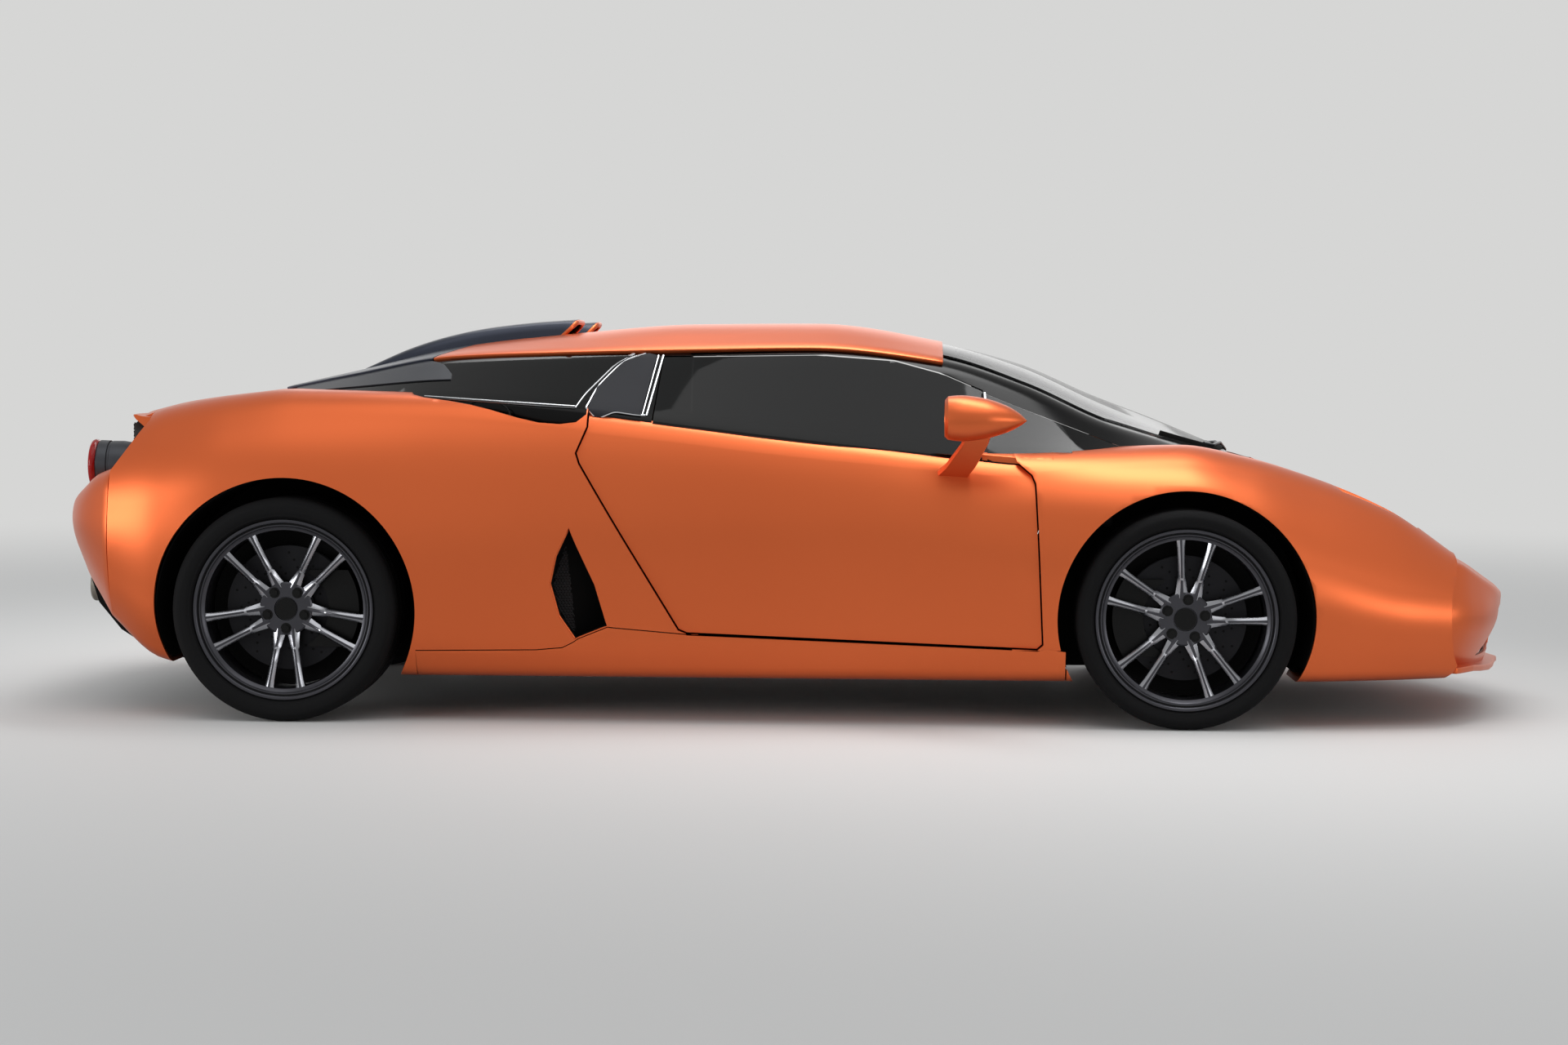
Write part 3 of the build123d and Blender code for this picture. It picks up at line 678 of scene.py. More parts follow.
# The door's skin is as thick as the door, inward and a little down from the surface
door = {"thickness": 58.0, "slant": 10.0, "innerY": 782.0}
sheet = ringSheet(bodyRing, steps(-480, 905, 20), 3, 53)
inner = [v for v in sheet.verts if v.co.y * 1000 < door["innerY"] - 30]
bmesh.ops.delete(sheet, geom=inner, context="VERTS")
pulled(sheet, sheet.faces[:], Vector((0, -door["thickness"], -door["slant"])) * mm)
doorPanel = toObject(sheet, "door_skin_left")
cutBy(doorPanel, [outlinePrism(doorOutline, -gapHalf, door["innerY"])], "INTERSECT")
# room for the fixed rail in the door's upper front corner
cutBy(doorPanel, [boxCut(684, 911, 500, 838, 729, 1100)], "DIFFERENCE")
pair(edged(doorPanel), orange, "paint", "door_{}", ["door_{}"])

lampCut = prism(grown(lampHalf, 0.0), "z", 400, 1000)


def fenderRing(x):
    # the body's section, drawn on past its front seam for the fender's lip
    ring = bodyRing(min(x, 2056))
    if x <= 2056:
        return ring
    return [a + (a - b) * ((x - 2056) / 30) for a, b in zip(ring, bodyRing(2036))]


lipCut = [
    (2140, 640), (2068, 640), (2071, 470), (2061, 430), (2046, 380), (2041, 320), (2045, 250), (2054, 205),
    (2066, 176), (2056, 156), (2036, 140), (2030, 100), (2140, 100),
]
fender = shellFrom(ringSheet(fenderRing, steps(790, 2056, 22) + [2064, 2074, 2084]), "fender_left", skin)
cuts = [
    outlinePrism(doorOutline, gapHalf, 500), planPrism(lidHalf, gapHalf),
    drum(axleX, frontHubZ, archRadius["front"], 400, 1200),
]
cuts += [
    lampCut, boxCut(700, 1300, -50, 430, 500, 1000), planPrism(cowlHalf, 2.0),
    boxCut(700, 960, -50, 790, 600, 1000),
]
cuts += [
    prism([(700, 100), (945, 100), (945, 222), (700, 221)], "y", 600, 1300), prism(lipCut, "y", 580, 1000),
    boxCut(2056, 2140, -50, 582, 100, 700),
]
cutBy(fender, cuts, "DIFFERENCE")
pair(edged(fender), orange, "paint", "chassis", ["front_fender_{}", "slam_panel"])

seamRear = [
    (-905, 206), (-560, 211), (-486, 218), (-458, 232), (-440, 244), (-357, 278), (-340, 276), (-134, 259),
    (-110, 257),
]
quarter = shellFrom(ringSheet(bodyRing, steps(-1790, 10, 22), 0, 62), "quarter_left", skin)
cuts = [
    outlinePrism(doorOutline, gapHalf, 500), drum(-axleX, rearHubZ, archRadius["rear"], 400, 1200),
    prism(intakeOutline, "y", 700, 1200),
]
cornerCut = [
    (-1696, 853), (-1704, 842), (-1759, 759), (-1796, 706), (-1840, 706), (-1840, 920), (-1696, 920),
]
windowDip = [
    (-960, 960), (-930, 932), (-899, 925), (-820, 915), (-760, 905), (-700, 891), (-620, 869), (-560, 856),
    (-500, 852), (-452, 858), (-425, 880), (-425, 1100), (-960, 1100),
]
cuts += [prism(cornerCut, "y", 500, 1000), prism(windowDip, "y", 500, 1000)]
cuts += [
    prism([(x, z + 1.5) for x, z in seamRear] + [(100, 259), (100, 60), (-905, 60)], "y", 600, 1300),
    boxCut(-430, 100, -50, 765, 600, 1100),
]
cutBy(quarter, cuts, "DIFFERENCE")
pair(edged(quarter), orange, "paint", "chassis", ["rear_quarter_{}"])

sill = shellFrom(ringSheet(bodyRing, steps(-905, 942, 22), 0, 30), "sill_left", skin)
outline = [(x, z - 1.5) for x, z in seamRear[:-1]] + [
    (-133, 256), (862, 219), (882, 226), (941, 218), (941, 100), (-902, 100),
]
cutBy(sill, [prism(outline, "y", 500, 1300)], "INTERSECT")
pair(edged(sill), orange, "paint", "chassis", ["side_sills"])

lid = shellFrom(ringSheet(bodyRing, steps(1400, 2030, 22), 50, None, True), "front_lid_skin", skin)
cutBy(lid, [planPrism(lidHalf, -gapHalf)], "INTERSECT")
# The lid's rear edge turns up toward the windscreen
lidRise = {"fromX": 1500, "reach": 95, "height": 12.0, "ease": 1.6}
for vert in lid.data.vertices:
    near = max(0.0, 1.0 - ((vert.co.x - middleX) * 1000 - lidRise["fromX"]) / lidRise["reach"])
    vert.co.z += lidRise["height"] * mm * near ** lidRise["ease"]
finished(edged(lid), orange, "paint", "front_lid", ["front_lid"])

deck = shellFrom(ringSheet(bodyRing, steps(-1790, -1322, 22), 57, None, True), "rear_deck_skin", skin)
deckEnd = [
    (-1900, 0), (-1900, 900), (-1700, 900), (-1728, 780), (-1742, 720), (-1772, 470), (-1784, 300),
    (-1790, 0),
]
cutBy(deck, [planPrism(deckEnd, 0.0)], "DIFFERENCE")
finished(edged(deck), orange, "paint", "chassis", ["rear_deck"])
# Fixed rail under the front corner of the door window, and the cowl behind the lid
rail = shellFrom(ringSheet(bodyRing, steps(686, 909, 18), 36, 60), "belt_rail_left", skin)
cutBy(rail, [boxCut(690, 905, 700, 832, 735, 1100)], "INTERSECT")
pair(edged(rail), orange, "paint")
cowl = shellFrom(ringSheet(bodyRing, steps(1230, 1500, 18), 48, None, True), "cowl", 8.0)
cutBy(cowl, [planPrism(cowlHalf, 0.0)], "INTERSECT")
finished(edged(slid(cowl, z=-10.0)), rawPlastic, "black_trim")
print("lower panels cut")

# Greenhouse panels, by ring position: 9 is the belt, 21 the rail, 33 the roof bubble
doorWindow = [(706, 700), (706, 955), (600, 1000), (450, 1040), (223, 1056), (-222, 1048), (-246, 800)]
frontWindow = [(716, 700), (716, 944), (900, 872), (1118, 790), (1118, 700)]
quarterFront = bent([(-461, 897), (-439, 936), (-354, 1030), (-304, 1050)], 40)
rearWindow = [(-899, 922)] + quarterFront + [(-831, 1040), (-1285, 943)]
screenHalf = [(590, 0), (590, 566), (823, 598), (1064, 594), (1254, 492), (1452, 332), (1490, 0)]
slateHalf = [
    (-552, 0), (-556, 398), (-690, 408), (-800, 446), (-897, 602), (-930, 720), (-1345, 720), (-1345, 0),
]

roof = shellFrom(ringSheet(houseRing, steps(-960, 590, 20), 21, None, True), "roof_skin", 12.0)
cutBy(roof, [planPrism(slateHalf, 1.5, 700)], "DIFFERENCE")
finished(edged(roof), orange, "paint", "chassis", ["roof_panel", "roof_scoops"])

pillars = shellFrom(ringSheet(houseRing, steps(-1338, 1458, 20), 2, 26), "pillars_left", -18.0)
cuts = [outlinePrism(outline, 0.0, 400) for outline in (doorWindow, frontWindow, rearWindow)]
cuts += [
    planPrism(screenHalf, 1.0, 600), boxCut(-142, 590, -50, 640, 1046, 1300),
    boxCut(-1400, -142, -50, 618, 930, 1300),
]
cutBy(pillars, cuts, "DIFFERENCE")
pair(pillars, glossBlack, "black_trim", "chassis", ["cabin_frame"])

screen = shellFrom(ringSheet(houseRing, steps(590, 1458, 20), 19, None, True), "windscreen_pane", 5.0)
cutBy(screen, [planPrism(screenHalf, -1.5, 600)], "INTERSECT")
finished(screen, screenGlass, "glass", "chassis", ["windscreen"])
band = shellFrom(ringSheet(houseRing, steps(590, 1458, 20), 19, None, True), "windscreen_band", 5.0)
cutBy(band, [planPrism(screenHalf, -3.0, 600)], "INTERSECT")
cutBy(band, [planPrism(screenHalf, -42.0, 600)], "DIFFERENCE")
finished(slid(band, z=0.4), glossBlack, "black_trim")

for label, outline, shrink, body, node in (
    ("door", doorWindow, -4.0, "door_{}", "door_glass_{}"),
    ("front", frontWindow, -1.0, "chassis", "fixed_windows"),
    ("rear", rearWindow, -1.0, "chassis", "fixed_windows"),
):
    ends = [p[0] for p in outline]
    sheet = ringSheet(houseRing, steps(min(ends) - 12, max(ends) + 12, 20), 6, 24)
    pane = shellFrom(sheet, label + "_pane_left", 4.0)
    cutBy(pane, [outlinePrism(outline, shrink, 400)], "INTERSECT")
    pair(pane, sideGlass, "glass", body, [node])

# Engine cover and the slate shell round it
coverHalf = [(-560, 0), (-560, 150), (-1130, 395), (-1300, 462), (-1300, 0)]
coverOpening = [(-555, 0), (-555, 153), (-1130, 402), (-1322, 477), (-1322, 0)]
rearShell = shellFrom(ringSheet(houseRing, steps(-1338, -540, 20), 21, None, True), "rear_shell", 12.0)
cutBy(rearShell, [planPrism(slateHalf, -1.5, 700)], "INTERSECT")
cutBy(rearShell, [planPrism(coverOpening, 0.0, 700)], "DIFFERENCE")
finished(edged(rearShell), slate, "dark_paint")
cover = shellFrom(ringSheet(houseRing, steps(-1320, -550, 20), 21, None, True), "engine_cover_skin", 12.0)
cutBy(cover, [planPrism(coverHalf, 0.0, 700)], "INTERSECT")
louvres = {"count": 6, "x": -820, "pitch": 62, "width": 16, "half": 110, "grow": 22}
for k in range(louvres["count"]):
    x, half = louvres["x"] - louvres["pitch"] * k, louvres["half"] + louvres["grow"] * k
    cutBy(cover, [boxCut(x, x + louvres["width"], -half, half, 700, 1300)], "DIFFERENCE")
finished(edged(cover), slate, "dark_paint", "engine_cover", ["engine_cover"])


# Roof scoops: x at the foot, y of the inner and outer foot, rise, and how far the mouth leans forward
scoopRows = [
    (-1160, 395, 430, 1, 0), (-1090, 350, 444, 16, 0), (-1000, 290, 450, 34, 0), (-880, 235, 436, 49, 0.2),
    (-760, 200, 412, 58, 0.8), (-660, 184, 396, 60, 1.5), (-560, 172, 388, 58, 2.1),
]
scoopSlopes = slopesOf(scoopRows)


def scoopRing(x):
    inner, outer, rise, lean = rowAt(scoopRows, scoopSlopes, x)
    left, right = topZ(houseRing, x, outer) - 3, topZ(houseRing, x, inner) - 3
    crown = max(left, right)
    line = [(outer, left, 0), (outer - 0.30 * rise, left + 0.9 * rise, 0), (outer - rise, crown + rise, 0)]
    line += [(inner + 0.55 * rise, crown + 0.96 * rise, 0), (inner, right, 0)]
    path = softPath(line, (28, 40, 34), 5, 4)
    return [(x + lean * (p.y - topZ(houseRing, x, max(p.x, inner))) * 0.5, p.x, p.y) for p in path]


scoopXs = steps(-1160, -560, 20)
scoopRings = {x: scoopRing(x) for x in scoopXs}
sheet = bmesh.new()
gridSheet(sheet, scoopXs, len(scoopRings[scoopXs[0]]), lambda x, j: at(*scoopRings[x][j]))
thicken(sheet, lambda c: Vector((0, c.y - 0.33, c.z - 1.0)), 0.006)
pair(toObject(sheet, "scoop_left"), slate, "dark_paint", "chassis", (), 40)
lip = bmesh.new()
rod(lip, [at(x + 1, y, z - 2) for x, y, z in scoopRings[scoopXs[-1]]], 7.5, 10, False, 1.0, (1, 0, 0.2))
pair(toObject(lip, "scoop_lip_left"), orange, "paint")
duct = bmesh.new()
mouth = [(y, z) for x, y, z in scoopRings[scoopXs[-4]]]
lattice(duct, mouth, 11.0, (35, -35), lambda y, z: at(-618 + 0.9 * (z - 1090), y, z), 1.6, 1.0, (1, 0, 0))
pair(toObject(duct, "scoop_mesh_left"), meshWire, "mesh")
print("greenhouse made")


def rowsRing(rows, slopes, reach):
    # sections given as x, then y z pairs from the bottom edge up, then z of the middle
    def ring(x):
        r = rowAt(rows, slopes, x)
        line = [(r[k], r[k + 1], 0) for k in range(0, len(r) - 1, 2)]
        return softPath(line + [(0.0, r[-1], 0)], reach, 6, 5)

    return ring


# Nose: x, then y z of the lower edge, wall, brow and crown, then z of the middle
noseRows = [
    (2030, 690, 155, 752, 317, 660, 470, 400, 490, 494),
    (2058, 668, 154, 740, 316, 648, 462, 400, 483, 488),
    (2095, 622, 154, 716, 312, 630, 450, 380, 470, 477),
    (2130, 560, 153, 678, 306, 602, 428, 350, 450, 460),
    (2170, 462, 156, 620, 300, 560, 402, 310, 429, 439),
    (2217, 300, 154, 500, 296, 488, 375, 250, 399, 411),
    (2262, 62, 148, 310, 296, 318, 354, 170, 372, 382),
    (2292, 34, 240, 160, 304, 180, 343, 90, 354, 362),
    (2308, 10, 304, 60, 322, 80, 338, 40, 345, 350),
    (2316, 1, 328, 10, 332, 16, 337, 8, 340, 342),
]
noseRing = rowsRing(noseRows, slopesOf(noseRows), (50, 14, 60))
noseXs = [2030 + 286 * math.sin(math.pi / 2 * i / 26) for i in range(27)]
nosePlan = sorted((r[3], r[0]) for r in noseRows)


def noseX(y):
    return rowAt(nosePlan, slopesOf(nosePlan), min(abs(y), 766.0))[0]


nose = shellFrom(ringSheet(noseRing, noseXs, 0, None, True), "nose_skin", 10.0)
mouthLeft = [(2030, 70), (2030, 612), (2140, 585), (2360, 250), (2360, 70)]
mouthCuts = [prism(mouthLeft, "z", 188, 316), prism([(a, -b) for a, b in mouthLeft], "z", 188, 316)]
cutBy(nose, mouthCuts, "DIFFERENCE")
finished(edged(nose), orange, "paint", "chassis", ["front_fascia"])

# Mesh and duct walls in the mouths
bm = bmesh.new()
mouthLean = 0.34  # how far the nose's face leans back for each millimetre up


def mouthPoint(y, z, back):
    return at(noseX(y) - back + mouthLean * (z - 250), y, z)


mouthOutline = [(74, 184), (606, 184), (596, 320), (74, 320)]
lattice(bm, mouthOutline, 15.0, (35, -35), lambda y, z: mouthPoint(y, z, 80), 1.8, 1.0, (1, 0, 0), 3)
pair(toObject(bm, "mouth_mesh_left"), meshWire, "mesh")
bm = bmesh.new()
mouthDuct = {"back": (70, 160, 160, 20), "z": (184, 184, 318, 318)}
gridSheet(bm, steps(60, 630, 19), 4, lambda y, j: at(noseX(y) - mouthDuct["back"][j], y, mouthDuct["z"][j]))
thicken(bm, lambda c: Vector((1, 0, 0)), 0.003)
pair(toObject(bm, "mouth_duct_left"), rawPlastic, "liner")
bm = bmesh.new()
for z in (214, 250, 286):
    rod(bm, [mouthPoint(y, z, 56) for y in steps(72, 604, 19)], 3.6, 8, False, 1.0, (1, 0, 0))
pair(toObject(bm, "mouth_bars_left"), glossBlack, "black_trim")

splitterHalf = [
    (2050, 0), (2050, 748), (2066, 758), (2084, 738), (2128, 674), (2168, 594), (2215, 470), (2258, 300),
    (2294, 132), (2312, 52), (2326, 0),
]
bm = prism(mirroredOutline(splitterHalf), "z", 126, 144)
for x in (2130, 2180, 2230, 2280):
    whole = bm.verts[:] + bm.edges[:] + bm.faces[:]
    bmesh.ops.bisect_plane(bm, geom=whole, plane_co=at(x, 0, 0), plane_no=(1, 0, 0))
for vert in bm.verts:
    ahead = max(0.0, ((vert.co.x - middleX) * 1000 - 2130) / 196)
    vert.co.z += 0.026 - 0.036 * ahead
finished(edged(toObject(bm, "splitter"), 5.0, 4, 40), orange, "paint", "chassis", ["front_fascia"])

# Tail: the same, from the quarters' rear seam backward
tailRows = [
    (-2008, 0, 486, 0, 520, 0, 566, 0, 588, 0, 594, 597),
    (-2004, 90, 484, 150, 518, 170, 565, 150, 590, 90, 597, 601),
    (-1995, 250, 476, 330, 514, 352, 564, 330, 594, 200, 606, 610),
    (-1960, 478, 464, 576, 512, 606, 562, 580, 606, 300, 622, 628),
    (-1900, 652, 410, 735, 480, 772, 556, 742, 640, 400, 668, 674),
    (-1845, 742, 358, 803, 430, 838, 538, 806, 683, 400, 700, 706),
    (-1790, 800, 290, 850, 372, 886, 514, 852, 702, 500, 724, 730),
]
tailRing = rowsRing(tailRows, slopesOf(tailRows), (40, 60, 50, 40))
tailXs = [-1790 - 218 * math.sin(math.pi / 2 * i / 18) for i in range(19)]
tail = shellFrom(ringSheet(tailRing, sorted(tailXs), 0, None, True), "tail_skin", 12.0)
exhaust = {"x": -1722, "y": 470, "z": 352, "opening": 150, "openingTop": 120}
for y in (-exhaust["y"], exhaust["y"]):
    wide, narrow = exhaust["opening"], exhaust["openingTop"]
    opening = [(y - wide, 270), (y + wide, 270), (y + narrow, 402), (y - narrow, 402)]
    cutBy(tail, [prism(opening, "x", -2200, -1700)], "DIFFERENCE")
finished(edged(tail), orange, "paint", "chassis", ["rear_fascia"])

# Dark recess between the bumper and the deck, and its mesh
bm = bmesh.new()
recess = {
    "half": 776, "x": (-1740, -1836, -1836, -1790), "sweep": (20, 116, 116, 70), "z": (862, 850, 690, 660),
    "fall": (40, 40, 0, 0),
}


def recessPoint(y, j):
    out = y / recess["half"]
    return at(recess["x"][j] + recess["sweep"][j] * out**3, y, recess["z"][j] - recess["fall"][j] * out**2)


gridSheet(bm, steps(0, recess["half"], 28), 4, recessPoint)
mirrorY(bm)
thicken(bm, lambda c: Vector((-1, 0, 0)), 0.004)
finished(toObject(bm, "tail_recess"), rawPlastic, "liner", "chassis", ["rear_fascia"])
bm = bmesh.new()
meshOutline = [(-452, 690), (452, 690), (460, 838), (-460, 838)]


def recessMeshPoint(y, z):
    return at(-1847 + 116 * (abs(y) / recess["half"]) ** 3, y, z)


lattice(bm, meshOutline, 17.0, (35, -35), recessMeshPoint, 2.0, 1.0, (-1, 0, 0), 4)
finished(toObject(bm, "tail_mesh"), meshWire, "mesh", "chassis", ["rear_fascia"])

# Lower rear: diffuser floor with four fins
bm = bmesh.new()
diffuser = {
    "half": 655, "sweep": 40, "x": (-1640, -1730, -1800, -1850, -1905), "z": (152, 176, 222, 280, 372),
}


def diffuserPoint(i, y):
    return at(diffuser["x"][i] + diffuser["sweep"] * (y / diffuser["half"]) ** 2, y, diffuser["z"][i])


gridSheet(bm, 5, steps(-diffuser["half"], diffuser["half"], 50), diffuserPoint)
thicken(bm, lambda c: Vector((-0.5, 0, -1)), 0.006)
finished(toObject(bm, "diffuser"), rawPlastic, "liner", "chassis", ["rear_fascia"])
finOutline = [
    (-1640, 142), (-1886, 200), (-1902, 262), (-1892, 330), (-1800, 230), (-1700, 182), (-1640, 156),
]
for k, y in enumerate((-300, -110, 110, 300)):
    fin = toObject(prism(finOutline, "y", y - 4, y + 4), "diffuser_fin_" + str(k))
    finished(edged(fin, 2.0), rawPlastic, "liner")

# Ducktail: for each distance from the middle, x and z of its tip; it leaves the deck smoothly
duckRows = [
    (-712, -1759, 870), (-640, -1779, 869), (-500, -1813, 866), (-350, -1850, 863), (-180, -1877, 861),
    (0, -1886, 860), (180, -1877, 861),
]
duckSlopes = slopesOf(duckRows)


def duckPoint(y, j):
    tipX, tipZ = rowAt(duckRows, duckSlopes, -abs(y))
    rootX = -1700 + 20 * (abs(y) / 712) ** 2
    rootZ = topZ(bodyRing, rootX, abs(y)) + 0.6
    along = (0.0, 0.25, 0.5, 0.75, 0.93, 1.0, 1.0, 0.93, 0.6, 0.3, 0.1, 0.0)[j]
    x = rootX + (tipX - rootX) * along
    slope = (rootZ - 0.6 - topZ(bodyRing, rootX + 20, abs(y))) / 20 * (rootX - tipX)
    top = rootZ * (1 - along) ** 2 + (2 * rootZ + slope) * along * (1 - along) + tipZ * along**2
    under = (0, 0, 0, 0, 0, 2, 7, 14, 30, 40, 44, 40)[j]
    return at(x, y, top - under)


bm = bmesh.new()
gridSheet(bm, steps(-712, 712, 31), 12, duckPoint)
for end in (-712, 712):
    ring = [v for v in bm.verts if abs(v.co.y * 1000 - end) < 0.01]
    middle = sum((v.co for v in ring), Vector()) / len(ring)
    bm.faces.new(sorted(ring, key=lambda v: math.atan2(v.co.z - middle.z, v.co.x - middle.x)))
joined(bm, 0.0001)
finished(toObject(bm, "ducktail"), orange, "paint", "chassis", ["rear_deck"], 50)
# Dark filler inside each upper rear corner
fillerOutline = [(-1640, 820), (-1706, 826), (-1758, 748), (-1792, 696), (-1800, 640), (-1640, 640)]
pair(toObject(prism(fillerOutline, "y", 640, 796), "corner_filler_left"), rawPlastic, "liner")
print("nose and tail made")

# Wheels, turned about their own axle: r from the axle, w outward along it, both in millimetres
wheelSizes = {}
for axle, firstPair in (("front", 83.0), ("rear", 270.0)):
    low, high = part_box("tyre_" + axle + "_left")
    wheelSizes[axle] = {"radius": high[2] * 500, "width": (high[1] - low[1]) * 1000, "pair": firstPair}
# The rim's radii, how far its face lies inside the lip, and its five pairs of spokes
rim = {
    "bead": 241.0, "lip": 258.0, "barrel": 229.0, "hub": 76.0, "cap": 31.0, "recess": 55.0, "pairs": 5,
    "innerSpread": 19.0, "outerSpread": 47.0, "boltCircle": 56.0,
}
# The brake disc, whose middle lies that far behind the rim's face
brake = {
    "behind": 61.0, "bore": 78, "radius": 178, "groove": 172, "hole": 3.6, "holes": 60,
    "holeRows": (98, 118, 138, 158),
}


def turned(profile, count):
    # a closed r w outline spun about the y axis
    bm = bmesh.new()
    verts = [bm.verts.new(Vector((r * mm, w * mm, 0))) for r, w in profile]
    edges = [bm.edges.new((verts[i - 1], verts[i])) for i in range(len(verts))]
    full = 2 * math.pi
    bmesh.ops.spin(
        bm, geom=verts + edges, cent=(0, 0, 0), axis=(0, 1, 0), angle=full, steps=count, use_merge=True,
    )
    joined(bm, 0.00001)
    return bm


def wheelUV(bm):
    # u runs round the tyre and v outward along its radius and across its width
    layer = bm.loops.layers.uv.new("round")
    for face in bm.faces:
        centre = face.calc_center_median()
        base = math.atan2(centre.z, centre.x)
        for loop in face.loops:
            co = loop.vert.co
            turn = math.atan2(co.z, co.x)
            turn += 2 * math.pi * round((base - turn) / (2 * math.pi))
            loop[layer].uv = (turn / (2 * math.pi), Vector((co.x, co.z)).length / 0.4 + 0.5 * co.y)


def tyreProfile(radius, width):
    # sidewall with its rim protector and shoulder, and four grooves across the tread
    half = width / 2
    bead = [(rim["bead"] + 1, half - 17)]
    wall = ((2, 16.5), (5, 9), (9, 5), (13, 4.2), (16, 2.2), (24, 0.6))
    shoulder = ((26, 0), (19, 1.4), (17, 2.8), (9, 8), (4, 15), (1.5, 24))
    side = bead + [
        (rim["lip"] + r, half - w)
        for r, w in wall
    ] + [(radius - r, half - w) for r, w in shoulder]
    tread = []
    for centre in (half * 0.62, half * 0.2, -half * 0.2, -half * 0.62):
        top = radius - (1.0 if abs(centre) > half * 0.5 else 0.3)
        tread += [
            (top, centre + 6), (radius - 7, centre + 4.4), (radius - 7, centre - 4.4), (top, centre - 6),
        ]
    return side + tread + [(r, -w) for r, w in reversed(side)]


def spokeSheet(bm, angle, side, half):
    # one arm of a pair, as a closed tube of flat-faced sections from the hub to the rim
    face = half - rim["recess"]
    stations = [
        # r, share of the way from hub spread to rim spread, half width, crown w, flank drop
        (60, 0.0, 19, face + 1, 26),
        (78, 0.06, 17, face + 3, 26),
        (96, 0.16, 14, face + 7, 26),
        (112, 0.25, 12.5, face + 10, 26),
        (118, 0.29, 10.5, face + 15, 28),
        (160, 0.53, 10.5, face + 21, 27),
        (205, 0.80, 11.0, face + 25, 25),
        (226, 0.93, 12.5, face + 27, 24),
        (234, 0.98, 15.5, face + 27, 24),
    ]
    shape = [(-1.0, -1.0), (-1.0, -0.34), (-0.28, -0.02), (-0.1, 0.0)]
    shape += [(-a, b) for a, b in reversed(shape)] + [(-1.0, -1.0)]
    spread = rim["outerSpread"] - rim["innerSpread"]

    def point(i, j):
        r, share, width, crown, drop = stations[i]
        across = side * (rim["innerSpread"] + spread * share) + width * shape[j][0]
        w = crown + drop * shape[j][1]
        along = math.sqrt(max(r * r - (side * (rim["innerSpread"] + spread * share)) ** 2, 1.0))
        c, s = math.cos(angle), math.sin(angle)
        return Vector((along * c - across * s, w, along * s + across * c)) * mm

    made = gridSheet(bm, len(stations), len(shape), point)
    bmesh.ops.remove_doubles(bm, verts=made, dist=0.00001)


def discSolid(bm, x, z, radius, low, high, segments):
    lift = Matrix.Translation(Vector((x, (low + high) / 2, z)) * mm)
    flat = Matrix.Rotation(math.radians(90), 4, "X")
    sizes = {"radius1": radius * mm, "radius2": radius * mm, "depth": (high - low) * mm}
    bmesh.ops.create_cone(bm, cap_ends=True, segments=segments, matrix=lift @ flat, **sizes)


def placed(bm, hub, side):
    # puts a wheel piece built with its outer face toward +y at a hub
    if side < 0:
        bmesh.ops.scale(bm, verts=bm.verts, vec=(1, -1, 1))
        bmesh.ops.reverse_faces(bm, faces=bm.faces)
    bmesh.ops.translate(bm, verts=bm.verts, vec=hub)
    return bm


